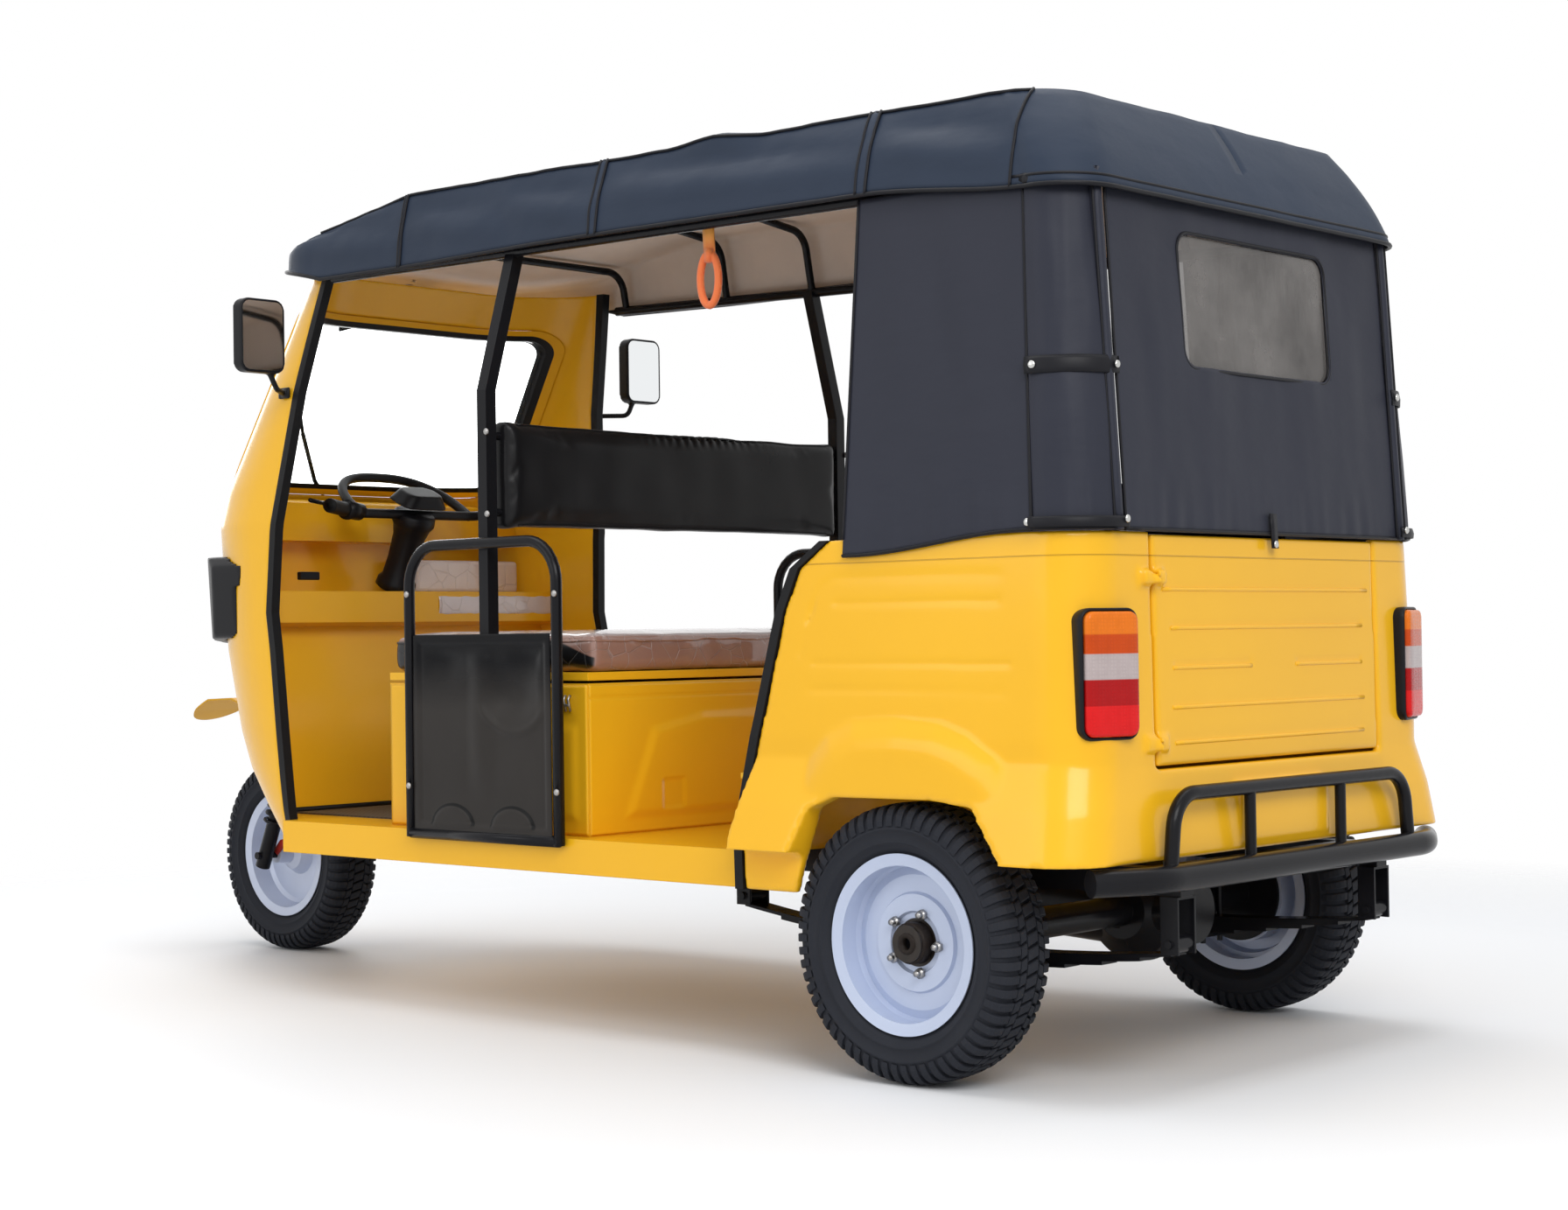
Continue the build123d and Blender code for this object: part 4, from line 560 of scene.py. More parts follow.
def half_ring(rear_half, front_half, rear_y, front_y, rear_corner, front_corner):
    """One side of a rounded trapezoid in plan, from the middle of the rear to the middle of the front."""
    points = [((rear_half - rear_corner) * i / END_STEPS, rear_y) for i in range(END_STEPS)]
    for i in range(ARC_STEPS):
        angle = math.pi / 2 * (1 - i / ARC_STEPS)
        across, back = math.cos(angle) - 1, math.sin(angle) - 1
        points.append((rear_half + rear_corner * across, rear_y + rear_corner * back))
    start, end = rear_y - rear_corner, front_y + front_corner
    for i in range(SIDE_STEPS):
        y = start + (end - start) * i / SIDE_STEPS
        share = (rear_y - y) / (rear_y - front_y)
        points.append((rear_half + share * (front_half - rear_half), y))
    edge = points[-1][0]
    for i in range(ARC_STEPS):
        angle = math.pi / 2 * i / ARC_STEPS
        points.append((edge + front_corner * (math.cos(angle) - 1), end - front_corner * math.sin(angle)))
    inner = edge - front_corner
    return points + [(inner * (1 - i / END_STEPS), front_y) for i in range(END_STEPS + 1)]


def hem_lift(station):
    """The hem is drawn up between the rear corner and the windscreen."""
    lift = HEM_LIFT * smooth_step(station, -0.30, 0.12)
    lift -= (HEM_LIFT - HEM_LIFT_FRONT) * smooth_step(station, 1.0, 1.6)
    return lift - HEM_LIFT_FRONT * smooth_step(station, 1.90, 2.18)


def hood_z(rise, y):
    """Height of a level of the hood, under the visor's slope and over its hem."""
    station = REAR_AXLE_Y - y
    lift = hem_lift(station)
    base = HEM_Z + HOOD_PITCH * (HOOD_REAR + station)
    height = base + rise + lift * max(1 - rise / HOOD_DEPTH, 0)
    under = max(HOOD_DEPTH - rise, 0)
    height = min(height, VISOR_TOP - max(station - VISOR_BREAK, 0) * VISOR_FALL - under * 0.1)
    hem = base + lift + max(station - HEM_BREAK, 0) * HEM_FALL / HEM_RUN
    return max(height, hem + rise * 0.1)


def slack(x, y, level):
    """How far the canvas stands proud at a place: its belly, its folds and its ripples."""
    station = REAR_AXLE_Y - y
    stops = [HOOP_STATION, 0.120, 0.905, 1.213, 1.590, 2.2]
    inside = [i for i in range(5) if stops[i] <= station < stops[i + 1]]
    proud = 0.0025 * waves((x, y, level * 0.2), 0.16) + 0.0012 * waves((x, y, level * 0.2), 0.05, 3.0)
    if inside and level < 1:
        share = (station - stops[inside[0]]) / (stops[inside[0] + 1] - stops[inside[0]])
        slant = 0.42 + 0.22 * (share - 0.5) if x > 0 else 0.5
        proud += 0.006 * ridge(level, slant, 0.26) * math.sin(math.pi * share) ** 0.5
        proud -= 0.004 * ridge(level, slant + 0.3, 0.2) * math.sin(math.pi * share)
    if x > 0 and 0.9 < level < 1.8:
        proud += 0.012 * math.exp(-(((station - 0.56) / 0.085) ** 2)) * ridge(level, 1.2, 0.6)
    return proud


def hood_level(level, inset=0.0):
    """A ring of the hood: level 0 is the hem, 1 the crease, 2 the crown's edge and 3 the middle."""
    lean = min(level, 1.0)
    side, rear = 0.35 * lean + 0.65 * lean**2, 0.6 * lean + 0.4 * lean**2
    over = min(max(level - 1, 0.0), 1.0)
    rise = HOOD_DEPTH * lean + CROWN_RISE * math.sin(over * math.pi / 2)
    creases = ((CREASE_SIDE, side), (CREASE_SIDE_FRONT, side), (CREASE_REAR, rear))
    side_in, front_in, rear_in = (
        crease * bend + over * (CROWN_IN - crease) + inset for crease, bend in creases
    )
    half = half_ring(
        HOOD_REAR_HALF - side_in, HOOD_FRONT_HALF - front_in, fore(-HOOD_REAR) - rear_in,
        fore(HOOD_FRONT) + front_in, REAR_CORNER, FRONT_CORNER,
    )
    inner = max(level - 2, 0.0)
    points = []
    for x, y in half:
        spine = min(max(y, fore(HOOD_FRONT) + 0.5), fore(-HOOD_REAR) - 0.5)
        y += (spine - y) * inner
        points.append(Vector((x * (1 - inner), y, hood_z(rise + 0.004 * inner, y) - inset)))
    return points


def hood_rows(levels, inset=0.0, proud=1.0):
    """Full rings, the right half first and then the left, pushed out by the canvas's slack."""
    rows = []
    for level in levels:
        ring = []
        for side, half in ((-1, hood_level(level, inset)), (1, hood_level(level, inset)[::-1])):
            for at in half:
                at = mirrored(side, at)
                out = slack(at.x, at.y, level) * proud
                if level < 1.15 and at.y < fore(-HOOD_REAR) - 0.04:
                    at.x += side * out
                elif level < 1.15:
                    at += Vector((at.x, 0.4, 0)).normalized() * out
                if level > 0.7:
                    at.z += out
                ring.append(at)
        rows.append(ring)
    return rows


CROWN_LEVELS = [1 + i / 8 for i in range(8)] + [2 + i / 5 for i in range(6)]
HOOD_LEVELS = [i / 14 for i in range(14)] + CROWN_LEVELS
LINER_LEVELS = [0.12 + i / 8 for i in range(7)] + CROWN_LEVELS
hood = merged(grid("hood", hood_rows(HOOD_LEVELS), hood_canvas))
cloth(hood)
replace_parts(hood, "canopy_roof")
liner = merged(grid("hood_liner", hood_rows(LINER_LEVELS, 0.0045, 0.3), liner_cloth))
cloth(liner, 0.0012)


# %% Belts, piping and hems on the hood
def hood_point(side, station, level, lift=0.0):
    """A point on the hood's outside, at a station and level, lifted off it."""
    ring = hood_level(level)[END_STEPS : END_STEPS + ARC_STEPS + SIDE_STEPS]
    y = fore(station)
    before = max((i for i in range(len(ring)) if ring[i].y >= y), default=0)
    after = min(before + 1, len(ring) - 1)
    gap = ring[before].y - ring[after].y
    at = mirrored(side, ring[before].lerp(ring[after], (ring[before].y - y) / gap if gap > 1e-6 else 0.0))
    out = slack(at.x, at.y, level) + lift
    if level < 1.15:
        at.x += side * out
    if level > 0.7:
        at.z += out
    return at


def upright(side, station, lift):
    """A line from the hem up to the crease, lifted off the hood."""
    return [hood_point(side, station, i / 20, lift) for i in range(21)]


seam_paths = []
for side, word in SIDES:
    for number, (station, half) in enumerate(BELT_STATIONS.items()):
        shares = (-1, -0.6, 0, 0.6, 1)
        rows = [upright(side, station + share * half, 0.0035 - 0.0015 * abs(share)) for share in shares]
        wall(merged(grid(f"hood_belt_{word}_{number}", rows, hood_canvas)), 0.002)
    stations = [HOOP_STATION + i * 0.03 for i in range(74)]
    seam_paths.append([hood_point(side, s, 0.985, 0.002) for s in stations if s < 1.95])
    seam_paths.append(upright(side, HOOP_STATION, 0.002))
    for station, half in BELT_STATIONS.items():
        seam_paths += [upright(side, station + edge * half, 0.003) for edge in (-1, 1)]
PIPING, HEM_PIPING = 0.0032, 0.0048  # radii
bars("hood_piping", seam_paths, PIPING, canvas_edge, sides=8)
bars("hood_hem", [hood_rows([0.0])[0]], HEM_PIPING, canvas_edge, sides=8, closed=True)
rear_seam = [p for p in hood_rows([0.10])[0] if p.y > fore(HOOP_STATION)]
rear_seam.sort(key=lambda p: math.atan2(p.x, p.y - fore(0)))
bars("hood_rear_seam", [rear_seam], PIPING, canvas_edge, sides=8)
tell("hood")

# %% [markdown]
# ## Rear canvas
# Side, corner and rear canvas hang from the hoop to the tub. Each is a continuous sheet that
# follows the tub's rounded corner, bellies a little and pulls tight at its seams.

# %% Curtains round the rear cabin
CURTAIN_LOW, CURTAIN_HIGH = 0.992, 1.700
CURTAIN_LOW_SIZES = (0.630, 0.630, 0.422)  # half width behind, half width ahead, rear face
CURTAIN_HIGH_SIZES = (0.588, 0.549, 0.379)
CURTAIN_AHEAD, CURTAIN_CORNER, CANVAS_TOP = 0.140, 0.110, 1.690
SLOT_IN, SLOT_OUT = 0.497, 0.531
WINDOW_HALF, WINDOW_LOW, WINDOW_HIGH, WINDOW_ROUND = 0.265, 1.345, 1.597, 0.034


def curtain_sizes(height):
    share = (height - CURTAIN_LOW) / (CURTAIN_HIGH - CURTAIN_LOW)
    return [a + (b - a) * share for a, b in zip(CURTAIN_LOW_SIZES, CURTAIN_HIGH_SIZES)]


def curtain_point(run, height, proud=0.0):
    """A point on the left half: run 0 to 1 along the side, to 2 round the corner, to 3 mid rear."""
    rear, front, back = curtain_sizes(height)
    rear_y, round_y = fore(-back), fore(-back) - CURTAIN_CORNER
    if run <= 1:
        y = fore(CURTAIN_AHEAD) + run * (round_y - fore(CURTAIN_AHEAD))
        slope = (front - rear) * (rear_y - y) / (rear_y - fore(0.5))
        return Vector((rear + slope + proud, y, height))
    if run <= 2:
        angle = (run - 1) * math.pi / 2
        reach = CURTAIN_CORNER + proud
        x = rear - CURTAIN_CORNER + reach * math.cos(angle)
        return Vector((x, round_y + reach * math.sin(angle), height))
    return Vector(((rear - CURTAIN_CORNER) * (3 - run), rear_y + proud, height))


def run_of_x(x, height):
    """The run on the rear face where the canvas is x from the middle."""
    return 3 - x / (curtain_sizes(height)[0] - CURTAIN_CORNER)


def curtain_rows(side, start, end, low, bulge, seed, columns=48, rows=60):
    """A grid of one canvas: start and end are runs, or places across the rear face if negative."""
    made = []
    for i in range(rows + 1):
        up = i / rows
        row = []
        for j in range(columns + 1):
            across = j / columns
            bottom = low(across)
            height = bottom + (CANVAS_TOP - bottom) * up
            first, last = (run if run >= 0 else run_of_x(-run, height) for run in (start, end))
            run = first + (last - first) * across
            puff = math.sin(math.pi * across) ** 0.6 * math.sin(math.pi * up) ** 0.5
            ripple = waves((run * 0.5, height * 0.55, seed), 0.13) * 0.0045
            ripple += waves((run * 0.5, height * 0.3, seed + 3), 0.045) * 0.0013
            tug = ridge(up, 0.0, 0.22) * waves((run, seed, 0), 0.06) * 0.003
            row.append(mirrored(side, curtain_point(
                run, height, 0.001 + bulge * puff + ripple * min(1, puff + 0.25) + tug
            )))
        made.append(row)
    return made


def hem_side(across):
    """The side canvas's lower edge, which rises towards the rear."""
    return 0.995 + 0.034 * smooth_step(across, 0.05, 0.95)


def hem_level(_):
    return 1.029


for side, word in SIDES:
    side_rows = curtain_rows(side, 0.0, 1.0, hem_side, 0.004, 11 * side)
    cloth(merged(grid(f"canvas_side_{word}", side_rows, canvas)))
    corner_rows = curtain_rows(side, 1.0, -SLOT_OUT, hem_level, 0.009, 5 * side, columns=30)
    cloth(merged(grid(f"canvas_corner_{word}", corner_rows, canvas)))
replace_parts(bpy.data.objects["canvas_side_left"], "canopy_quarters")


def block_outline(half, low, high, corner, steps):
    """A rounded rectangle about X = 0, as X and Z."""
    spots, top, foot = [], high - corner, low + corner
    for x, z, start in ((1, top, 0), (-1, top, 90), (-1, foot, 180), (1, foot, 270)):
        for k in range(steps + 1):
            angle = math.radians(start + 90 * k / steps)
            spots.append((x * (half - corner) + corner * math.cos(angle), z + corner * math.sin(angle)))
    return spots


def window_outline(grow):
    return block_outline(WINDOW_HALF + grow, WINDOW_LOW - grow, WINDOW_HIGH + grow, WINDOW_ROUND + grow, 10)


def cut_window(made):
    """Cuts the window's rounded outline out of a canvas."""
    outline = window_outline(0.0)
    points = [(x, y, z) for y in (fore(-0.30), fore(-0.50)) for x, z in outline]
    faces = grid_faces(2, len(outline), wrap=True) + ends(2, len(outline))
    tool = outward(linked("cutter", mesh_of("cutter", points, faces)))
    settle(made, ("BOOLEAN", {"object": tool, "operation": "DIFFERENCE", "solver": "EXACT"}))
    bpy.data.objects.remove(tool)
    smooth(made.data)


# the rear canvas is drawn across its whole width, cut out round its window and bound at the cut
half_rows = curtain_rows(1, -SLOT_IN, 3.0, hem_level, 0.002, 21, columns=50)
whole_rear = [sorted([mirrored(-1, p) for p in row[:-1]] + row, key=lambda p: p.x) for row in half_rows]
rear_sheet = wall(merged(grid("canvas_rear", whole_rear, canvas)), 0.0018)
cut_window(rear_sheet)
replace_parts(rear_sheet, "canopy_rear")


def rear_at(x, z, lift=0.0):
    """A point on the rear canvas's face."""
    return Vector((x, curtain_point(run_of_x(abs(x), z), z, 0.001 + lift).y, z))


welt = [rear_at(x, z, 0.002) for x, z in window_outline(0.004)]
bars("window_welt", [welt], PIPING, canvas_edge, closed=True, sides=8)
tell("rear canvas")

# %% Binding, poles' sleeves and straps on the rear canvas
POLE_X, HEM_Z_REAR = 0.514, 1.033
BANDS = {"strap": (1.330, 0.016), "top_band": (1.672, 0.010), "hem_band": (1.045, 0.010)}  # level, half width
edges, sleeves, bands = [], [], {}
for side, word in SIDES:
    def at(run, z, lift=0.0):
        return mirrored(side, curtain_point(run, z, lift))

    def behind(x, z, lift):
        return Vector((side * x, rear_at(x, z, lift).y, z))

    heights = [1.03 + i * 0.0165 for i in range(41)]
    edges += [[at(1.0, z, 0.003) for z in heights], [at(0.0, z, 0.002) for z in heights]]
    edges += [[behind(x, z, 0.003) for z in heights] for x in (SLOT_OUT, SLOT_IN)]
    hem = [at(run / 20, hem_side(run / 20) + 0.004, 0.003) for run in range(21)]
    hem += [at(1 + run / 12, HEM_Z_REAR, 0.004) for run in range(1, 13)]
    edges.append(hem + [behind(SLOT_OUT, HEM_Z_REAR, 0.004)])
    sleeves.append([behind(POLE_X, z, -0.006) for z in heights[::4] + [1.685]])
    for name, (height, half) in BANDS.items():
        rows = []
        for across in (-1, -0.5, 0, 0.5, 1):
            z = height + across * half
            last = run_of_x(0.500, z)
            runs = [1.0 + i / 12 for i in range(13)] + [2 + (last - 2) * i / 5 for i in range(1, 6)]
            rows.append([at(run, z, 0.0145 - 0.002 * abs(across)) for run in runs])
        bands[f"canvas_{name}_{word}"] = rows
edges.append([rear_at(-SLOT_IN + i * 0.0497, HEM_Z_REAR, 0.003) for i in range(21)])
bars("canvas_binding", edges, 0.003, canvas_edge, sides=8)
bars("pole_sleeves", sleeves, 0.021, canvas, sides=16, flat=0.62)
for name, rows in bands.items():
    wall(grid(name, rows, canvas_edge), 0.0022)
tell("bindings and straps")

# %% [markdown]
# ## Repeats
# Studs, nuts and tread blocks are one shape many times over. A Geometry Nodes group sets the
# shape on each point of a mesh, turned as that point's "turn" attribute says.

# %% The repeating node group
def repeat_group():
    group = bpy.data.node_groups.new("repeat_on_points", "GeometryNodeTree")
    sockets = group.interface
    labels = (("Geometry", "Geometry"), ("Source", "Object"), ("Finish", "Material"))
    for label, kind in labels:
        sockets.new_socket(label, in_out="INPUT", socket_type=f"NodeSocket{kind}")
    sockets.new_socket("Geometry", in_out="OUTPUT", socket_type="NodeSocketGeometry")
    new, link = group.nodes.new, group.links.new
    start, end = new("NodeGroupInput"), new("NodeGroupOutput")
    kinds = ("ObjectInfo", "InputNamedAttribute", "InstanceOnPoints", "RealizeInstances", "SetMaterial")
    source, turn, place, real, paint = (new("GeometryNode" + kind) for kind in kinds)
    turn.data_type = "FLOAT_VECTOR"
    turn.inputs["Name"].default_value = "turn"
    link(start.outputs["Geometry"], place.inputs["Points"])
    link(start.outputs["Source"], source.inputs["Object"])
    link(source.outputs["Geometry"], place.inputs["Instance"])
    link(turn.outputs["Attribute"], place.inputs["Rotation"])
    link(place.outputs[0], real.inputs[0])
    link(real.outputs[0], paint.inputs[0])
    link(start.outputs["Finish"], paint.inputs["Material"])
    link(paint.outputs[0], end.inputs[0])
    return group


REPEAT = repeat_group()


def repeat(name, shape, places, finish, body="chassis", slot=None):
    """One piece of a shape (points, faces) set at each place: a point and its Euler turn."""
    source = linked(name + "_shape", mesh_of(name + "_shape", *shape))
    smooth(source.data)
    made = piece(name, [at for at, _ in places], [], finish, body, slot)
    turns = made.data.attributes.new("turn", "FLOAT_VECTOR", "POINT")
    for item, (_, turn) in zip(turns.data, places):
        item.vector = tuple(turn)
    modifier = made.modifiers.new("repeat", "NODES")
    modifier.node_group = REPEAT
    values = {"Source": source, "Finish": finish.material}
    for item in REPEAT.interface.items_tree:
        if item.in_out == "INPUT" and item.name in values:
            modifier[item.identifier] = values[item.name]
    settle(made)
    dress(finish, made)
    bpy.data.objects.remove(source)
    return made


def facing(direction):
    """The Euler turn that points a shape's Z along a direction."""
    return Vector(direction).to_track_quat("Z", "X").to_euler()


def stud_mesh(radius, height, sides=20):
    """A domed stud standing on z=0, as points and faces."""
    steps = ((1.0, 0.0), (1.0, 0.35), (0.85, 0.75), (0.5, 0.96))
    rings = [(radius * share, up * height) for share, up in steps]
    points = [(reach * c, reach * s, z) for reach, z in rings for c, s in spokes(sides)]
    last = (len(steps) - 1) * sides
    faces = grid_faces(len(steps), sides, wrap=True)
    faces += [(last + k, last + (k + 1) % sides, len(points)) for k in range(sides)]
    return points + [(0, 0, height)], faces + [tuple(reversed(range(sides)))]


# %% Studs on the rear canvas, and the tab that holds it to the tailgate
studs = []
for side, _ in SIDES:
    for run, z, lift in ((1.10, 1.330, 0.016), (0.985, 1.046, 0.006)):
        at, out = curtain_point(run, z, lift), curtain_point(run, z, 0.05)
        studs.append((mirrored(side, at), facing((side * (out.x - at.x), out.y - at.y, 0))))
    for z in (1.330, 1.05):
        studs.append((Vector((side * 0.512, rear_at(0.512, z, 0.017).y, z)), facing((0, 1, 0))))
studs.append((rear_at(0, 1.012, 0.010), facing((0, 1, 0))))
repeat("canvas_studs", stud_mesh(0.0075, 0.004), studs, steel)
tab_levels = (1.072, 1.05, 1.03, 1.004)
tab = [[Vector((x, rear_at(0, z, 0.008).y, z)) for x in (-0.011, 0, 0.011)] for z in tab_levels]
wall(grid("gate_tab", tab, canvas_edge), 0.003)
tell("studs")

# %% [markdown]
# ## Pressed steel
# The cowl, the tub and the tailgate are pressings, so none of their edges is sharp. Each is
# drawn again over its CAD shape as a fine even mesh, and relaxed until its edges roll over.

# %% Rolled panels
def rolled(name, node, finish, body, voxel, rounds, patches=()):
    """A piece over a CAD node with every edge rolled, and patches fused into its skin."""
    mesh = nodes[node].data.copy()
    mesh.transform(nodes[node].matrix_world)
    with editing(mesh) as work:
        for patch in patches:
            work.from_mesh(patch.data)
            bpy.data.objects.remove(patch)
    mesh.materials.clear()
    made = settle(
        linked(name, mesh),
        ("REMESH", {"mode": "VOXEL", "voxel_size": voxel}),
        ("SMOOTH", {"factor": 0.5, "iterations": rounds}),
        ("DECIMATE", {"ratio": 0.42}),
    )
    made.data.materials.append(finish.material)
    smooth(made.data)
    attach(made, body)
    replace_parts(made, node)
    print(name, len(made.data.polygons), "faces")
    return made


def tub_enamel():
    """The body's yellow, with the seam that runs round the tub under its rim."""
    finish = Finish("tub_enamel", "body_yellow", **GLOSS)
    seam = finish.place("z").between(0.9838, 0.9862, 0.0012)
    paint = finish.mix(finish.noise(2.2, 4.0), PAINT_DEEP, PAINT_LIGHT)
    finish.set(Base_Color=finish.mix(seam * 0.45, paint, (0.35, 0.17, 0.01)))
    wobble = finish.bump(finish.noise(6.0, 2.0), 0.004, 0.22)
    return finish.set(Normal=finish.bump(1.0 - seam, 0.0015, 0.8, wobble))


tub_yellow = tub_enamel()
VOXEL = 0.0055
TUB_SECTIONS = ((0.345, 0.632, 0.424), (0.650, 0.640, 0.422), (1.030, 0.622, 0.414))  # level, half, rear
TUB_ROUND, PATCH_THICK = 0.110, 0.019


def lamp_patch(side):
    """A piece of the tub's corner, which closes the skin round a tail lamp."""
    skin = []
    for i in range(13):
        z = 0.622 + 0.300 * i / 12
        low, high = TUB_SECTIONS[:2] if z < TUB_SECTIONS[1][0] else TUB_SECTIONS[1:]
        share = (z - low[0]) / (high[0] - low[0])
        half, rear = (a + share * (b - a) for a, b in zip(low[1:], high[1:]))
        x, y = half - TUB_ROUND, fore(-rear) - TUB_ROUND
        row = [Vector((side * 0.440, fore(-rear), z))]
        for k in range(17):
            angle = math.radians(88) * k / 16
            row.append(Vector((side * (x + TUB_ROUND * math.sin(angle)), y + TUB_ROUND * math.cos(angle), z)))
        skin.append(row)
    patch = outward(grid(f"lamp_patch_{side}", skin, tub_yellow))
    return settle(patch, ("SOLIDIFY", {"thickness": PATCH_THICK, "offset": -1.0}))


rolled("tub_panels", "rear_body", tub_yellow, "chassis", VOXEL, 7, [lamp_patch(1), lamp_patch(-1)])
gate_panel = rolled("tailgate_panel", "tailgate", tub_yellow, "tailgate", VOXEL, 4)
rolled("cowl_panels", "front_cowl", yellow, "chassis", VOXEL, 9)

# %% [markdown]
# ## Beads and a bow
# A bead stiffens a pressed panel, and a bow holds the lining up. Both follow a surface that is
# already there, so rays find their points on it.

# %% Lining bow and the tailgate's beads
GATE_BEADS = (  # height and the ends of each bead across the tailgate
    (0.931, -0.375, 0.375), (0.859, -0.350, 0.350), (0.785, 0.075, 0.345), (0.785, -0.345, -0.090),
    (0.712, -0.350, 0.350), (0.646, -0.345, 0.345),
)
BEAD_STEPS, BEAD_SINK = 24, 0.0012
BOW_STATION, BOW_LIFT = 0.870, 0.009


def surface_path(made, rays, lift):
    """Where rays, each a start and a way, meet a piece, lifted back towards their starts."""
    path = []
    for at, way in rays:
        hit, place, _, _ = made.ray_cast(Vector(at), Vector(way))
        if hit:
            path.append(place - Vector(way) * lift)
    return path


bead_paths = []
for height, right, left in GATE_BEADS:
    across = [right + (left - right) * i / BEAD_STEPS for i in range(BEAD_STEPS + 1)]
    rays = [((x, fore(-0.9), height - 0.0075), (0, -1, 0)) for x in across]
    bead_paths.append(surface_path(gate_panel, rays, -BEAD_SINK))
angles = [math.radians(16 + 148 * k / 60) for k in range(61)]
fan = [((0, fore(BOW_STATION), 1.62), (math.cos(angle), 0, math.sin(angle))) for angle in angles]
bars("lining_bow", [surface_path(liner, fan, BOW_LIFT)], 0.0105, black_paint, sides=12)
bars("gate_beads", bead_paths, 0.0042, tub_yellow, "tailgate", sides=12)
tell("pressings")

# %% [markdown]
# ## Tail lamps and windows
# A lamp is a moulded frame round one lens with five bands, and a fine grid of prisms in the
# lens breaks up the light. Frame and lens are rounded blocks on each corner, turned out a little.

# %% Lens bands
LENS_BANDS = (  # top of each band and its colour
    (0.714, (0.74, 0.012, 0.013)), (0.761, (0.43, 0.006, 0.007)), (0.807, (0.50, 0.42, 0.41)),
    (0.842, (0.60, 0.070, 0.006)), (1.000, (0.82, 0.190, 0.012)),
)


def lens_finish():
    finish = Finish("tail_lens", "lamp_red", Roughness=0.2, Specular_IOR_Level=0.15)
    finish.set(Coat_Weight=0.04, Coat_Roughness=0.03)
    z, colour = finish.place("z"), LENS_BANDS[-1][1]
    for top, paint in reversed(LENS_BANDS[:-1]):
        colour = finish.mix(z.above(top, 0.002), paint, colour)
    prisms = {"Vector": finish.place(), "Scale": 150.0, "Randomness": 0.15}
    cells = finish.node("TexVoronoi", {"distance": "CHEBYCHEV"}, **prisms)
    shade = finish.mix(cells * 0.9, (1, 1, 1), (0.55, 0.5, 0.5))
    tinted = finish.node("VectorMath", {"operation": "MULTIPLY"})
    for slot, value in zip(tinted.socket.node.inputs, (colour, shade)):
        plug(finish.tree, slot, value)
    finish.set(Base_Color=finish.mix(finish.noise(28.0, 2.0), tinted, colour))
    return finish.set(Normal=finish.bump(cells, 0.0016, 0.6))


# %% Frames and lenses
LAMP_AT, LAMP_YAW, LAMP_STEPS = (0.5515, 1.7370, 0.7705), math.radians(16), 8
FRAME_PROFILE = (  # depth and inset, from back to front
    (-0.058, 0.004), (-0.010, 0.0), (-0.004, 0.0), (-0.0012, 0.0012), (0.0, 0.004), (-0.003, 0.006),
    (-0.006, 0.0065),
)
LENS_PROFILE = (
    (-0.010, 0.0), (0.004, 0.0006), (0.0075, 0.0018), (0.0095, 0.0042), (0.0105, 0.008), (0.0112, 0.016),
    (0.0117, 0.030),
)


def lamp_shells(name, node, wide, tall, corner, profile, finish):
    """Rounded blocks on both rear corners, in place of a node's."""
    points, faces = [], []
    for side, _ in SIDES:
        start, count = len(points), 4 * (LAMP_STEPS + 1)
        across = Vector((side * math.cos(LAMP_YAW), -math.sin(LAMP_YAW), 0))
        out = Vector((side * math.sin(LAMP_YAW), math.cos(LAMP_YAW), 0))
        for depth, inset in profile:
            half, high = wide / 2 - inset, tall / 2 - inset
            outline = block_outline(half, -high, high, max(corner - inset, 0.002), LAMP_STEPS)
            centre = mirrored(side, LAMP_AT)
            points += [centre + across * u + Vector((0, 0, v)) + out * depth for u, v in outline]
        faces += grid_faces(len(profile), count, wrap=True, start=start) + ends(len(profile), count, start)
    made = outward(piece(name, points, faces, finish))
    made.data.polygons.foreach_set("use_smooth", [len(p.vertices) < 5 for p in made.data.polygons])
    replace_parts(made, node)


lamp_shells("tail_lamp_frames", "tail_lamp_housings", 0.132, 0.238, 0.024, FRAME_PROFILE, moulded)
lamp_shells("tail_lamp_glass", "tail_lamp_lenses", 0.120, 0.226, 0.019, LENS_PROFILE, lens_finish())
tell("tail lamps")

# %% Window film, windscreen seal, mudguard and headlamp lenses
SEAL_FOOT, SEAL_HEAD, SEAL_HALF_FOOT, SEAL_HALF_HEAD = 1.248, 1.690, 0.462, 0.436
SEAL_WIDE, SEAL_CORNER = 0.0135, 0.070  # the rubber's breadth at the glass and its outer corner


def window_film():
    """Clouded plastic film: grey-brown, creased, and half clear."""
    finish = Finish("window_film", Roughness=0.25, Specular_IOR_Level=0.4)
    cloud = finish.noise(5.0, 5.0, 0.6)
    grey = finish.mix(cloud, (0.07, 0.065, 0.062), (0.24, 0.22, 0.205))
    finish.set(Base_Color=grey, Alpha=0.25 + cloud * 0.75)
    return finish.relief(((9.0, 4.0, 0.6, (1.0, 1.0, 0.5)), 0.008, 0.6))


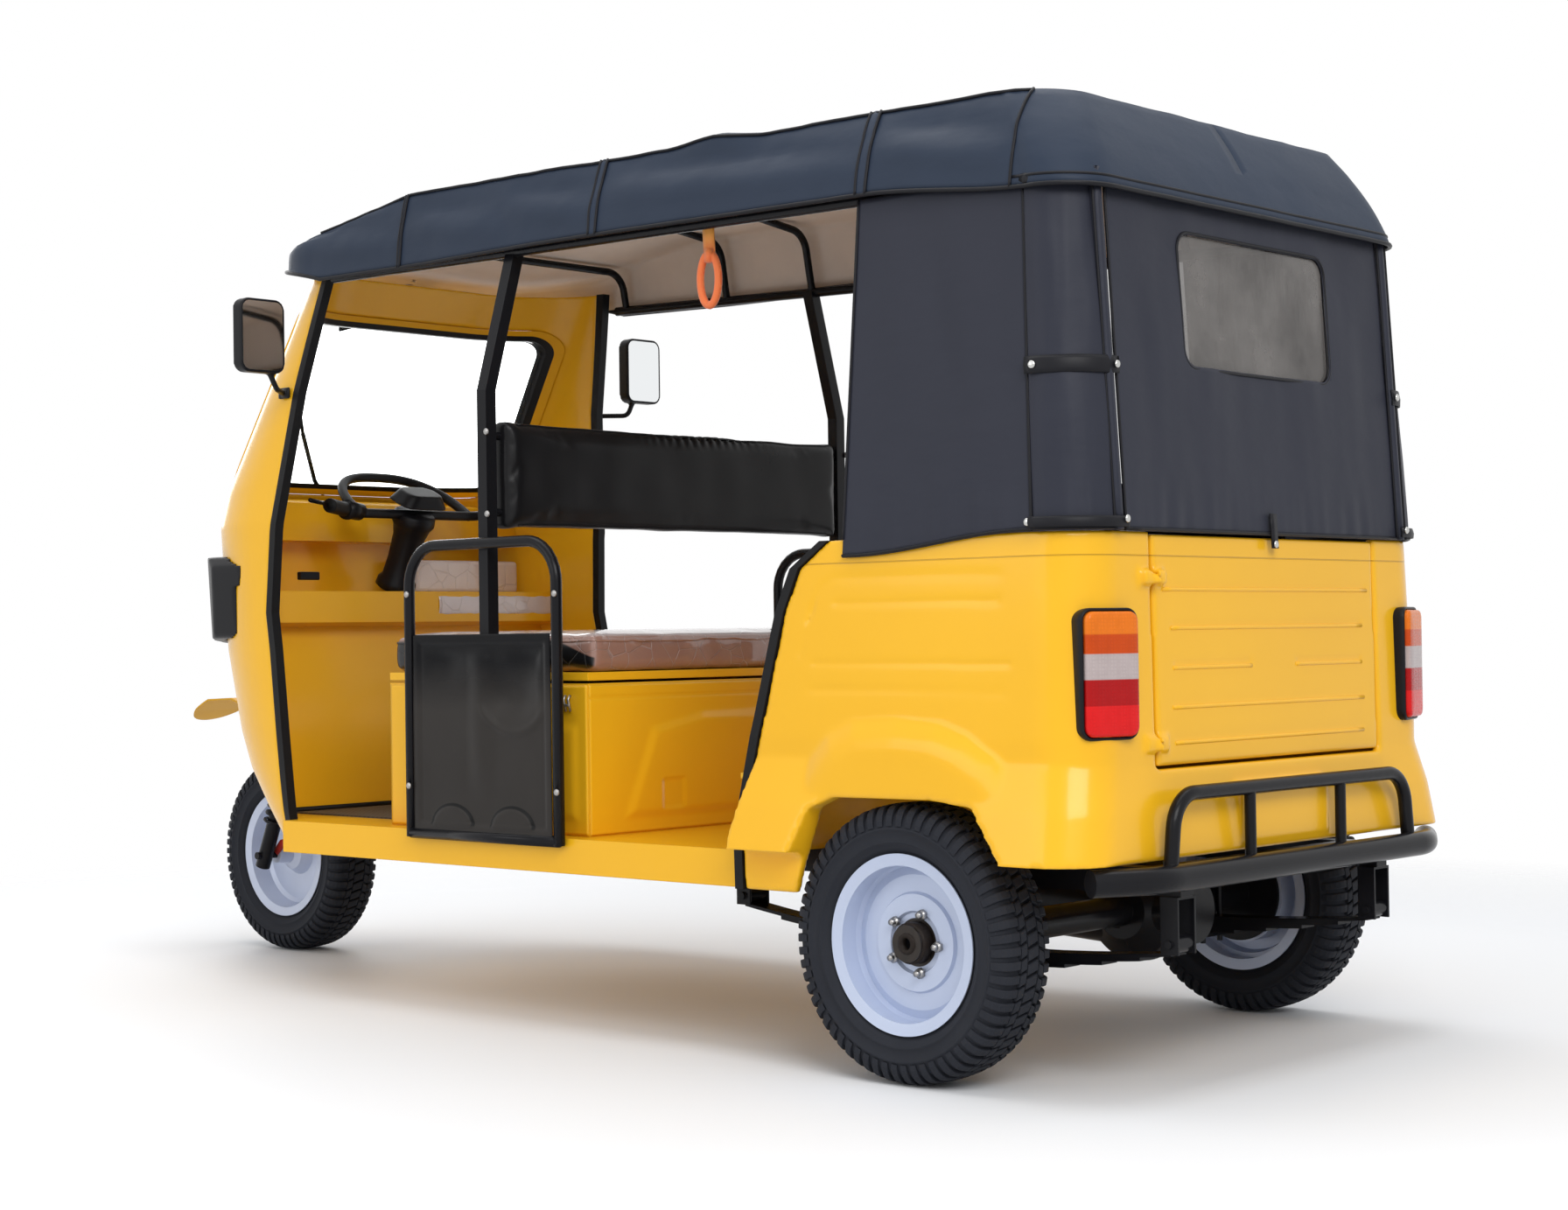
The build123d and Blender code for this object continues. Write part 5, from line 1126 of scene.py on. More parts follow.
def seal_rubber():
    """Black rubber at the glass, and the cab's yellow over the seal's outer half."""
    finish = Finish("seal_rubber", Roughness=0.4, Specular_IOR_Level=0.15)
    x, z = abs(finish.place("x")), finish.place("z")
    taper = (SEAL_HALF_HEAD - SEAL_HALF_FOOT) / (SEAL_HEAD - SEAL_FOOT)
    half = (z - SEAL_FOOT) * taper + SEAL_HALF_FOOT
    over_x = (x - half + SEAL_CORNER).math("MAXIMUM", 0.0)
    level = abs(z - (SEAL_FOOT + SEAL_HEAD) / 2)
    over_z = (level - ((SEAL_HEAD - SEAL_FOOT) / 2 - SEAL_CORNER)).math("MAXIMUM", 0.0)
    outer = over_x.length(over_z).above(SEAL_CORNER - SEAL_WIDE, 0.0006)
    return finish.set(Base_Color=finish.mix(outer, DEEP_BLACK, PAINT_DEEP))


dress(window_film(), "rear_window")
dress(seal_rubber(), "windscreen_seal")
dress(simple("mudguard_paint", (0.80, 0.42, 0.030), 0.45, Specular_IOR_Level=0.1), "front_mudguard")
dress(simple("head_lens", (0.72, 0.76, 0.80), 0.08, grain=90.0, depth=0.002), "headlamp_lenses")

# %% [markdown]
# ## Wheels
# A carcass is turned from its section, and its tread is cut as lugs that wrap the shoulder,
# with two staggered rows of blocks between them. The lugs repeat round the axle.

# %% Tyres and their tread
TREAD_COUNT, TREAD_DEPTH, CHAMFER = 62, 0.010, 0.0012
CARCASS = (  # radius and distance from the wheel's middle, from the bead to the crown
    (0.154, 0.047), (0.166, 0.053), (0.172, 0.0545), (0.176, 0.0560), (0.178, 0.0600), (0.183, 0.0640),
    (0.190, 0.0678), (0.1915, 0.0700), (0.1945, 0.0700), (0.196, 0.0690), (0.205, 0.0713), (0.215, 0.0720),
    (0.2165, 0.0735), (0.2195, 0.0735), (0.221, 0.0718), (0.232, 0.0695), (0.241, 0.0655), (0.248, 0.0590),
    (0.253, 0.0500), (0.2555, 0.0350), (0.2565, 0.0180), (0.2568, 0.0),
)
WHEELS = {  # wheel's middle, the side it faces and its body
    "rear_left": ((0.583, REAR_AXLE_Y, TYRE_RADIUS), 1, "rear_wheel_left"),
    "rear_right": ((-0.583, REAR_AXLE_Y, TYRE_RADIUS), -1, "rear_wheel_right"),
    "front": ((0, fore(FRONT_AXLE), TYRE_RADIUS), 1, "front_wheel"),
}


def lug(profile, start, end, skew):
    """A tread block: profile is (across, radius) over its top, start and end its arc in radians."""
    points, faces, count = [], [], len(profile)
    for depth in (TREAD_DEPTH, 0.0):
        for share in (0.0, 0.12, 0.88, 1.0):
            for index, (x, radius) in enumerate(profile):
                angle = start + (end - start) * share + skew * index / (count - 1)
                out = radius - (depth or (CHAMFER if share in (0.0, 1.0) else 0.0))
                points.append((x, out * math.sin(angle), out * math.cos(angle)))
    top, last = 4 * count, count - 1
    for r in range(3):
        for c in range(last):
            a, b = top + r * count + c, r * count + c
            faces += [(a, a + 1, a + count + 1, a + count), (b, b + count, b + count + 1, b + 1)]
    for c in range(last):
        d = 3 * count + c
        faces += [(c, c + 1, top + c + 1, top + c), (d + 1, d, top + d, top + d + 1)]
    for r in range(3):
        a, b = r * count, (r + 1) * count
        faces += [(a, top + a, top + b, b), (a + last, b + last, top + b + last, top + a + last)]
    return points, faces


def tread_pitch(step):
    """One pitch of the tread: a lug on each shoulder and three blocks between them."""
    shoulder = (
        (0.036, 0.2635), (0.046, 0.2625), (0.056, 0.2595), (0.0635, 0.2540), (0.0700, 0.2440),
        (0.0735, 0.2330),
    )
    inner = ((0.018, 0.2650), (0.026, 0.2645), (0.0335, 0.2638))
    middle = ((-0.0150, 0.2650), (-0.005, 0.2652), (0.005, 0.2652), (0.0150, 0.2650))
    far_shoulder, far_inner = ([(-x, r) for x, r in row] for row in (shoulder, inner))
    blocks = (  # outline, start, end and skew, in pitches
        (shoulder, 0.0, 0.60, 0.12), (far_shoulder, 0.5, 1.10, 0.12), (inner, -0.15, 0.62, 0.25),
        (far_inner, 0.35, 1.12, 0.25), (middle, 0.05, 0.80, 0.30),
    )
    return joined([lug(profile, *(share * step for share in shares)) for profile, *shares in blocks])


def turned(name, profile, wheel, finish, sides=96):
    """A closed ring turned about a wheel's axle from (radius, side) points."""
    centre, outboard, body = WHEELS[wheel]
    points = []
    for radius, x in profile:
        for c, s in spokes(sides):
            points.append((centre[0] + outboard * x, centre[1] + radius * s, centre[2] + radius * c))
    faces = grid_faces(len(profile), sides, wrap=True) + ring_round(len(profile), sides)
    return outward(piece(name, points, faces, finish, body))


tyre_coat = patchy(  # bluish rubber, matt and finely grained
    "tyre", (0.017, 0.0185, 0.024), (0.028, 0.030, 0.037), (9.0, 5.0), (0.52, 0.2),
    [((420.0, 2.0), 0.0003, 0.5)], slot="tyre_rubber", Specular_IOR_Level=0.1,
)
step = 2 * math.pi / TREAD_COUNT
both_halves = CARCASS + tuple((r, -x) for r, x in reversed(CARCASS[:-1]))
for wheel, (centre, _, body) in WHEELS.items():
    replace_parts(turned(f"tyre_carcass_{wheel}", both_halves, wheel, tyre_coat), f"tyre_{wheel}")
    places = [(Vector(centre), (-k * step, 0, 0)) for k in range(TREAD_COUNT)]
    tread = repeat(f"tread_{wheel}", tread_pitch(step), places, tyre_coat, body)
    tread.data.polygons.foreach_set("use_smooth", [False] * len(tread.data.polygons))
tell("tyres")

# %% Hubs, nuts and rims
HUB_CAP = (  # radius and distance outboard
    (0.012, 0.046), (0.020, 0.0445), (0.0215, 0.040), (0.036, 0.037), (0.0395, 0.034), (0.0405, 0.012),
    (0.012, 0.011),
)
NUT_COUNT, NUT_RING, NUT_AT, BOSS_RADIUS = 5, 0.058, 0.0165, 0.046


def nut_shape():
    """A hexagon nut with its stud, standing on z=0."""
    blocks = []
    for radius, height, sides in ((0.0105, 0.009, 6), (0.0055, 0.019, 12)):
        points = [(radius * c, radius * s, z) for z in (0.0, height) for c, s in spokes(sides)]
        blocks.append((points, grid_faces(2, sides, wrap=True) + ends(2, sides)[::-1]))
    return joined(blocks)


def rear_rim_paint():
    """Silver paint with a dark greasy boss at the axle."""
    finish = Finish("rear_rim_paint", Roughness=0.34, Metallic=0.2, Specular_IOR_Level=0.4)
    up, back = finish.place("z") - TYRE_RADIUS, finish.place("y") - REAR_AXLE_Y
    outer = up.length(back).above(BOSS_RADIUS, 0.0008)
    boss = finish.mix(finish.noise(60.0, 4.0), (0.008, 0.007, 0.006), (0.030, 0.020, 0.014))
    return finish.set(Base_Color=finish.mix(outer, boss, (0.50, 0.56, 0.71))).relief(SOFT_GRAIN)


dress(rear_rim_paint(), "rim_rear_left", "rim_rear_right")
rust = simple("rusty_hub", (0.020, 0.014, 0.011), 0.55, "wheel_silver", grain=60.0, depth=0.002)
for wheel in ("rear_left", "rear_right"):
    centre, outboard, body = WHEELS[wheel]
    turned(f"hub_cap_{wheel}", HUB_CAP, wheel, rust, sides=28)
    places = []
    for k in range(NUT_COUNT):
        angle = 2 * math.pi * (k + 0.3) / NUT_COUNT
        off = Vector((outboard * NUT_AT, NUT_RING * math.sin(angle), NUT_RING * math.cos(angle)))
        places.append((Vector(centre) + off, facing((outboard, 0, 0))))
    repeat(f"wheel_nuts_{wheel}", nut_shape(), places, zinc, body, "wheel_silver")
tell("hubs")

# %% [markdown]
# ## Seats
# A cushion is foam under a sewn cover. Its block is remeshed, blown up a little by the cloth
# solver so that the faces crown and the corners pull in, and then piped along its seams.

# %% Padded pieces
def rounded_box(name, low, high, edge, finish, body="chassis"):
    """A block with rolled edges between two corners."""
    low, high = Vector(low), Vector(high)
    mesh = bpy.data.meshes.new(name)
    with editing(mesh) as work:
        bmesh.ops.create_cube(work, size=1.0)
        for vert in work.verts:
            vert.co = Vector([share * long for share, long in zip(vert.co, high - low)]) + (low + high) / 2
        bmesh.ops.bevel(work, geom=work.edges[:], offset=edge, segments=4, profile=0.6, affect="EDGES")
    made = linked(name, mesh)
    mesh.materials.append(finish.material)
    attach(made, body)
    return made


def coordinates(mesh):
    flat = np.empty(len(mesh.vertices) * 3)
    mesh.vertices.foreach_get("co", flat)
    return flat.reshape(-1, 3)


def blow_up(made, cap, pressure=4.0, frames=20):
    """Inflates a block with the cloth solver; no point moves further than cap."""
    solver = made.modifiers.new("cloth", "CLOTH")
    settings = solver.settings
    settings.quality = 4
    settings.use_pressure, settings.uniform_pressure_force = True, pressure
    settings.effector_weights.gravity = 0.0
    settings.tension_stiffness = settings.compression_stiffness = 12.0
    settings.bending_stiffness = 0.4
    solver.collision_settings.use_collision = False
    solver.point_cache.frame_start, solver.point_cache.frame_end = 1, frames
    start = coordinates(made.data)
    for frame_number in range(1, frames + 1):
        stage.frame_set(frame_number)
    blown = shaped(made)
    moved = coordinates(blown) - start
    far = np.linalg.norm(moved, axis=1, keepdims=True)
    moved *= np.minimum(far, cap) / np.maximum(far, 1e-9)
    made.data.vertices.foreach_set("co", (start + moved).ravel())
    bpy.data.meshes.remove(blown)
    stage.frame_set(1)
    made.data.update()
    print(made.name, "swelled by", round(float(far.max()), 4))


def push_out(made, distance_at):
    """Moves each point along its normal, as far as distance_at says for its place."""
    normals = [v.normal.copy() for v in made.data.vertices]
    for vert, normal in zip(made.data.vertices, normals):
        distance = distance_at(vert.co)
        if distance:
            vert.co += normal * distance
    made.data.update()


def padded(made, subdivisions):
    """Rounds a block's mesh."""
    settle(made, ("SUBSURF", {"levels": subdivisions, "render_levels": subdivisions}))
    smooth(made.data)


def cushion(name, node, low, high, edge, finish, body, cap, voxel, flat_base=None):
    """A padded piece in place of a CAD block."""
    made = rounded_box(name, low, high, edge, finish, body)
    settle(made, ("REMESH", {"mode": "VOXEL", "voxel_size": voxel}))
    blow_up(made, cap)
    if flat_base is not None:
        for vert in made.data.vertices:
            vert.co.z = max(vert.co.z, flat_base)
    padded(made, 1)
    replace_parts(made, node)
    return made


def on_surface(made, points, lift):
    """The points, moved onto a piece and lifted off it."""
    skin = made.evaluated_get(bpy.context.evaluated_depsgraph_get())
    found = [skin.closest_point_on_mesh(Vector(point)) for point in points]
    return [at + normal * lift for _, at, normal, _ in found]


def fine(path, step=0.02):
    """A closed path with a point about every step."""
    full = []
    for a, b in zip(path, path[1:] + path[:1]):
        parts = max(1, int((Vector(b) - Vector(a)).length / step))
        full += [Vector(a).lerp(Vector(b), k / parts) for k in range(parts)]
    return full


# %% Seat covers
SEAM_BACK, FILM_EDGE, BLACK_VINYL = 0.862, 0.846, (0.006, 0.006, 0.007)  # station, level and colour


def seat_vinyl():
    """Brown vinyl under a clear film with a painted reflection; the sides are black vinyl ahead of a slanting
    seam.
    """
    finish = Finish("seat_vinyl", "seat_leather", Specular_IOR_Level=0.4, Coat_Roughness=0.07)
    mottle = finish.noise(5.0, 4.0)
    pink = finish.mix(mottle, (0.270, 0.140, 0.105), (0.370, 0.215, 0.170))
    x, y, z = (finish.place(axis) for axis in "xyz")
    # the seam runs down from under the film's edge to the lid
    station = y * -1.0 + REAR_AXLE_Y
    slant = (station - 0.86) * 0.33 + 0.779
    below = (slant - z).above(0.0, 0.004) * station.above(SEAM_BACK, 0.004)
    black = below * ((1.0 - z.above(FILM_EDGE, 0.006)) * abs(x).above(0.528, 0.004))
    # the film lies slack over the top: a painted reflection whitens it there, and painted highlights streak
    # along its creases
    film = finish.noise(10.0, 4.0, 0.6, (1.0, 0.35, 1.0))
    creases = finish.node("TexVoronoi", {"feature": "DISTANCE_TO_EDGE"}, Vector=finish.place(), Scale=17.0)
    sharp = creases.math("MINIMUM", 0.02) * 50.0
    painted_film_sheen = z.above(0.854, 0.008) * (film * 0.5 + 0.55) + (1.0 - sharp) * film * 0.30
    pink_under_sheen = finish.mix(painted_film_sheen.math("MINIMUM", 0.9), pink, (0.80, 0.74, 0.75))
    finish.set(Base_Color=finish.mix(black, pink_under_sheen, BLACK_VINYL))
    finish.set(Coat_Weight=1.0 - black * 0.85, Roughness=mottle * 0.15 + 0.28)
    return finish.set(Normal=finish.bump(sharp, 0.003, 0.6, finish.bump(film, 0.006, 0.5)))


seat_film = seat_vinyl()
vinyl = patchy(  # a fine grain, long soft dents and a broken shine
    "black_vinyl", BLACK_VINYL, (0.012, 0.0115, 0.012), (3.0, 4.0), (0.2, 0.2),
    [((6.0, 3.0, 0.5, (0.5, 1.0, 1.0)), 0.006, 0.35), ((520.0, 2.0), 0.0003, 0.4)],
    slot="seat_leather", Specular_IOR_Level=0.16,
)

# %% Cushions and backrests
seat = cushion(
    "seat_pad", "seat_cushion", (-0.543, fore(1.622), 0.7755), (0.543, fore(0.927), 0.856), 0.022,
    seat_film, "seat", 0.011, 0.0105, 0.7748,
)
push_out(seat, lambda p: waves(p, 0.07, 4.0) * 0.0035 * (1.0 if abs(p.x) > 0.5 or p.z < 0.84 else 0.25))
back = cushion(
    "backrest_pad", "middle_backrest", (-0.566, fore(1.240), 1.090), (0.566, fore(1.186), 1.338), 0.018,
    vinyl, "chassis", 0.010, 0.008,
)
push_out(back, lambda p: waves(p, 0.09, 4.0) * 0.0022)


def gathers(p):
    """Short upright wrinkles under the backrest's upper seam, on its rear face."""
    if p.y > fore(1.22) and p.z > 1.29 and -0.36 < p.x < 0.22:
        return math.sin(p.x * 230.0) * 0.0022 * smooth_step(p.z, 1.29, 1.335) * ridge(p.x, -0.07, 0.29)
    return 0.0


push_out(back, gathers)
cushion(
    "bench_pad", "bench_cushion", (-0.552, fore(0.258), 0.7415), (0.552, fore(-0.062), 0.822), 0.022,
    vinyl, "chassis", 0.009, 0.011, 0.7408,
)
cushion(
    "bench_back_pad", "bench_backrest", (-0.552, fore(-0.079), 0.742), (0.552, fore(-0.134), 1.152), 0.018,
    vinyl, "chassis", 0.007, 0.010,
)
seam_round = [(x, y, FILM_EDGE) for x, y in block_outline(0.545, fore(1.624), fore(0.925), 0.03, 6)]
piping = on_surface(seat, fine(seam_round), 0.0008)
bars("seat_piping", [piping], 0.0028, seat_film, "seat", closed=True, sides=8)
across = [x * 0.02 for x in range(-26, 27)]
seams = [[(x, fore(station), z) for x in across] for station in (1.2385, 1.1875) for z in (1.330, 1.098)]
bars("backrest_seams", [on_surface(back, seam, 0.0006) for seam in seams], 0.0022, vinyl, sides=8)
tell("seats")

# %% [markdown]
# ## Cabin
# Small things that the eye looks for: dented guard panels, a pressed seat box, the wipers,
# a strap to hold on to, rubber on the floor, and the covers and levers on the handlebar.

# %% Guard panels
GUARD_BACK_AT, GUARD_WIDE, GUARD_TALL, GUARD_FOOT = 0.976, 0.458, 0.442, 0.418
ARC_FOOT, ARC_SQUASH, ARC_MIDDLES = 0.434, 1.45, (1.304, 1.106)  # two pressed arcs at a panel's foot
GUARD_X, GUARD_TUBE, GUARD_BEND, GUARD_BAR = 0.6208, 0.0125, 0.090, 0.4135
GUARD_ENDS, GUARD_HEIGHTS = (1.450, 0.960), (0.405, 1.060)


def pressed(name, origin, across, out, size, height_of, finish, cells=(90, 90)):
    """An upright sheet with a pressed relief: height_of gives its depth at a place in the rectangle."""
    columns, rows = cells
    origin, across, out, up = Vector(origin), Vector(across), Vector(out), Vector((0, 0, 1))
    skin = []
    for i in range(rows + 1):
        row = [(size[0] * j / columns, size[1] * i / rows) for j in range(columns + 1)]
        skin.append([origin + across * u + up * v + out * height_of(u, v) for u, v in row])
    return outward(wall(grid(name, skin, finish), 0.0016))


def guard_relief(u, v):
    """Dents in a guard panel, from its rear lower corner; u runs forwards and v up."""
    station, z = GUARD_BACK_AT + u, GUARD_FOOT + v
    edge = min(u, GUARD_WIDE - u, v, GUARD_TALL - v)
    height = 0.0035 * (1 - smooth_step(edge, 0.018, 0.026)) - 0.0015 * ridge(edge, 0.022, 0.006)
    for middle in ARC_MIDDLES:
        reach = math.hypot(station - middle, (z - ARC_FOOT) * ARC_SQUASH)
        height += 0.0045 * smooth_step(0.072 - reach, 0.0, 0.012) * (1 if z > ARC_FOOT else 0)
    inside = smooth_step(edge, 0.020, 0.060)
    bowl = math.hypot((station - 1.10) / 0.098, (z - 0.728) / 0.080)
    height -= 0.0130 * (1 - smooth_step(bowl, 0.15, 1.05)) * inside
    height += 0.0030 * ridge(bowl, 1.05, 0.16) * smooth_step(0.715 - z, 0.0, 0.04)
    for middle, level, wide in ((1.325, 0.806, 0.085), (1.045, 0.820, 0.075)):
        lobe = math.hypot((station - middle) / wide, (z - level) / 0.075)
        height -= 0.0090 * (1 - smooth_step(lobe, 0.0, 1.1)) * inside
    height += 0.0060 * ridge(station, 1.205, 0.055) * smooth_step(z, 0.44, 0.62) * inside
    return height + 0.0020 * waves((station, z, 0), 0.13) * inside


def guard_paint():
    """Black thin sheet, scuffed brown below, with painted shade over its dented top and painted shadow on its
    arcs.
    """
    finish = Finish("guard_paint", "frame_black", Specular_IOR_Level=0.12)
    y, z = finish.place("y"), finish.place("z")
    scuff = finish.noise(4.0, 5.0, 0.6)
    low = finish.mix(scuff, (0.024, 0.021, 0.019), (0.037, 0.033, 0.030))
    # painted shade: the upper part is darkened to near black, as the shade over its dents
    high = (z + scuff * 0.08).above(0.79, 0.10)
    paint = finish.mix(high, low, (0.004, 0.004, 0.005))
    # painted shadow: a near-black line along each pressed arc at the panel's foot
    for middle in ARC_MIDDLES:
        arc = (y - fore(middle)).length((z - ARC_FOOT) * ARC_SQUASH).between(0.065, 0.074, 0.003)
        paint = finish.mix(arc * z.above(0.436, 0.004), paint, (0.004, 0.004, 0.004))
    finish.set(Base_Color=paint, Roughness=0.36 - high * 0.14)
    return finish.relief(((60.0, 3.0), 0.0004, 0.4))


def bent(corners, radius, steps=8):
    """A path through corner points with its corners rounded."""
    corners = [Vector(c) for c in corners]
    path = [corners[0]]
    for before, at, after in zip(corners, corners[1:], corners[2:]):
        back, ahead = (before - at).normalized(), (after - at).normalized()
        reach = radius / math.tan(back.angle(ahead) / 2)
        start, end = at + back * reach, at + ahead * reach
        middle = at + (back + ahead).normalized() * (radius / math.sin(back.angle(ahead) / 2))
        for k in range(steps + 1):
            path.append(middle + (start - middle).lerp(end - middle, k / steps).normalized() * radius)
    return path + [corners[-1]]


guard_paths, guard_metal = [], guard_paint()
for side, _ in SIDES:
    (ahead, behind), (low, high) = GUARD_ENDS, GUARD_HEIGHTS
    corners = ((ahead, low), (ahead, high), (behind, high), (behind, low))
    guard_paths.append(bent([(side * GUARD_X, fore(s), z) for s, z in corners], GUARD_BEND))
    guard_paths.append([(side * GUARD_X, fore(s), GUARD_BAR) for s in (ahead, 1.2, behind)])
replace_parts(bars("guard_tubes", guard_paths, GUARD_TUBE, black_paint, sides=20), "side_guards")
for side, word in SIDES:
    pressed(
        f"guard_panel_{word}", (side * 0.6225, fore(GUARD_BACK_AT), GUARD_FOOT), (0, -1, 0), (side, 0, 0),
        (GUARD_WIDE, GUARD_TALL), guard_relief, guard_metal,
    )
tell("guards")

# %% Seat box and its latch
BOX_FIELD = [(0.10, 0.03), (0.97, 0.03), (0.88, 0.23), (0.72, 0.26), (0.35, 0.26), (0.19, 0.23)]
SIDE_FIELD = [(0.03, 0.03), (0.60, 0.03), (0.60, 0.24), (0.03, 0.24)]
BOX_POCKETS = [[(u, 0.045), (u + 0.07, 0.045), (u + 0.07, 0.115), (u, 0.115)] for u in (0.215, 0.785)]
BOX_LOW, BOX_TALL, LATCH_Y = 0.4215, 0.325, fore(0.997)


def polygon_edge(u, v, corners):
    """Distance inside a convex outline, negative outside."""
    inside = []
    for (a, b), (c, d) in zip(corners, corners[1:] + corners[:1]):
        inside.append(((c - a) * (v - b) - (d - b) * (u - a)) / math.hypot(c - a, d - b))
    return min(inside)


def box_relief(u, v):
    """The raised field and pockets of the seat box's rear face."""
    height = 0.007 * smooth_step(polygon_edge(u, v, BOX_FIELD), -0.004, 0.022)
    for pocket in BOX_POCKETS:
        height -= 0.004 * smooth_step(polygon_edge(u, v, pocket), 0.0, 0.005)
    return height - 0.0025 * ridge(v, 0.297, 0.004)


def side_relief(u, v):
    return 0.005 * smooth_step(polygon_edge(u, v, SIDE_FIELD), -0.004, 0.018)


pressed(
    "seat_box_rear", (0.5485, fore(0.9393), BOX_LOW), (-1, 0, 0), (0, 1, 0), (1.097, BOX_TALL), box_relief,
    yellow, (180, 70),
)
for side, word in SIDES:
    pressed(
        f"seat_box_{word}", (side * 0.5508, fore(0.942), BOX_LOW), (0, -1, 0), (side, 0, 0),
        (0.666, BOX_TALL), side_relief, yellow, (90, 50),
    )
hasp = ((0.556, 0.724), (0.563, 0.716), (0.556, 0.690))
latch_paths = [[(x, LATCH_Y + offset, z) for x, z in hasp] for offset in (-0.007, 0.007)]
latch_paths.append([(0.560, LATCH_Y + offset, 0.703) for offset in (-0.009, 0.009)])
bars("seat_latch", latch_paths, 0.003, zinc, sides=10)
tell("seat box")

# %% Wipers
WIPERS = (  # pivot, knee, arm's end, blade's tip (side, station, level), and where the blade starts
    ((-0.069, 2.163, 1.752), (0.006, 2.185, 1.727), (0.109, 2.226, 1.676), (0.180, 2.247, 1.655), 0.25),
    ((0.040, 2.518, 1.250), (0.063, 2.513, 1.276), (0.163, 2.430, 1.392), (0.246, 2.345, 1.497), 0.45),
)
OFF_GLASS = Vector((0, -0.78, 0.62)) * 0.017
arms, blades = [], []
for *places, blade_from in WIPERS:
    pivot, knee, root, tip = (Vector((x, fore(station), z)) + OFF_GLASS for x, station, z in places)
    arms.append([pivot - OFF_GLASS, pivot, knee, knee.lerp(root, 0.6), root])
    blades.append([knee.lerp(root, blade_from), root, tip])
bars("wiper_arms", arms, 0.0062, black_paint, sides=8)
bars("wiper_blades", blades, 0.0095, rubber, sides=8, flat=0.5)
tell("wipers")

# %% Hand strap and floor rubber
STRAP_X, STRAP_Y, STRAP_TOP, STRAP_LONG = 0.497, fore(0.612), 1.738, 0.106
LOOP_Z, LOOP_HALF_WIDE, LOOP_HALF_TALL = 1.592, 0.026, 0.054


def webbing():
    """Orange webbing with a fine diagonal weave."""
    finish = Finish("orange_webbing", "canopy_canvas", Roughness=0.62, Sheen_Weight=0.3)
    z, y = finish.place("z"), finish.place("y")
    weave = ((z + y) * 1500.0).math("SINE") * ((z - y) * 1500.0).math("SINE") * 0.5 + 0.5
    tone = finish.mix(z.above(1.665, 0.05), (0.84, 0.10, 0.02), (0.90, 0.36, 0.03))
    finish.set(Base_Color=finish.mix(weave * 0.5, tone, (0.95, 0.42, 0.10)))
    return finish.set(Normal=finish.bump(weave, 0.0006, 0.6))


def ribbed_rubber():
    """Floor rubber with raised diamonds, scuffed brown by feet."""
    finish = Finish("floor_rubber", Roughness=0.6)
    x, y = finish.place("x"), finish.place("y")
    one, other = (abs((way * 190.0).math("SINE")) for way in (x + y, x - y))
    lines = 1.0 - one.math("MINIMUM", other).above(0.22, 0.2)
    worn = finish.mix(finish.noise(5.0, 5.0), (0.045, 0.036, 0.028), (0.10, 0.08, 0.06))
    finish.set(Base_Color=finish.mix(lines, worn, (0.018, 0.017, 0.016)))
    return finish.set(Normal=finish.bump(lines, 0.003, 0.9))


orange = webbing()
down = []
for i in range(13):
    z = STRAP_TOP - STRAP_LONG * i / 12
    bow = STRAP_X + 0.002 * math.sin(z * 30)
    down.append([Vector((bow, STRAP_Y + across, z)) for across in (-0.016, -0.006, 0.006, 0.016)])
wall(grid("hand_strap", down, orange), 0.003)
loop = [(STRAP_X, STRAP_Y + LOOP_HALF_WIDE * s, LOOP_Z + LOOP_HALF_TALL * c) for c, s in spokes(28)]
bars("hand_loop", [loop], 0.0085, orange, closed=True, sides=10)
collar = [(STRAP_X, STRAP_Y, z) for z in (1.655, 1.628)]
bars("hand_strap_collar", [collar], 0.0175, orange, sides=12, flat=0.6)
dress(ribbed_rubber(), "floor_mat")
tell("hand strap")

# %% Handlebar
STEER_FOOT, STEER_RAKE = 2.715, math.radians(24.4)
BAR_ALONG, BAR_REACH, BAR_SWEEP, BAR_RISE = 1.296, 0.365, 0.096, 0.054
HOOP_HALF, HOOP_AHEAD, HOOP_RISE, HOOP_SQUARE = 0.185, 0.196, 0.030, 2.6
COLUMN = (  # along the axis and radius, from the top down
    (1.302, 0.050), (1.296, 0.056), (1.275, 0.058), (1.262, 0.050), (1.235, 0.043), (1.170, 0.040),
    (1.120, 0.043), (1.108, 0.052), (1.090, 0.054), (1.083, 0.044), (1.080, 0.030),
)


def steer(along, ahead, side=0.0):
    """A point beside the steering axis: along it from the ground, ahead of it, to its side."""
    sine, cosine = math.sin(STEER_RAKE), math.cos(STEER_RAKE)
    return Vector((side, fore(STEER_FOOT) + along * sine - ahead * cosine, along * cosine + ahead * sine))


rows = [[steer(along, radius * c, radius * s) for c, s in spokes(40)] for along, radius in COLUMN]
column = grid("column_cover", rows, moulded, wrap=True, body="steering")
with editing(column.data) as work:
    bmesh.ops.holes_fill(work, edges=[e for e in work.edges if e.is_boundary], sides=0)
outward(column)
tips = [steer(BAR_ALONG + BAR_RISE, -BAR_SWEEP, side * BAR_REACH) for side in (-1, 1)]
bar_line = bent([tips[0], *(steer(BAR_ALONG, 0, side * BAR_REACH / 2) for side in (-1, 1)), tips[1]], 0.09)
hoop_line = []
for k in range(41):
    across, out = math.cos(math.pi * k / 40), math.sin(math.pi * k / 40)
    reach = (abs(across) ** HOOP_SQUARE + out**HOOP_SQUARE) ** (-1 / HOOP_SQUARE)
    ahead = -0.006 + HOOP_AHEAD * out * reach
    hoop_line.append(steer(BAR_ALONG + HOOP_RISE * out * reach, ahead, -HOOP_HALF * across * reach))
handlebar = bars("handlebar_and_hoop", [bar_line, hoop_line], 0.0125, moulded, "steering", sides=16)
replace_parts(handlebar, "handlebar")

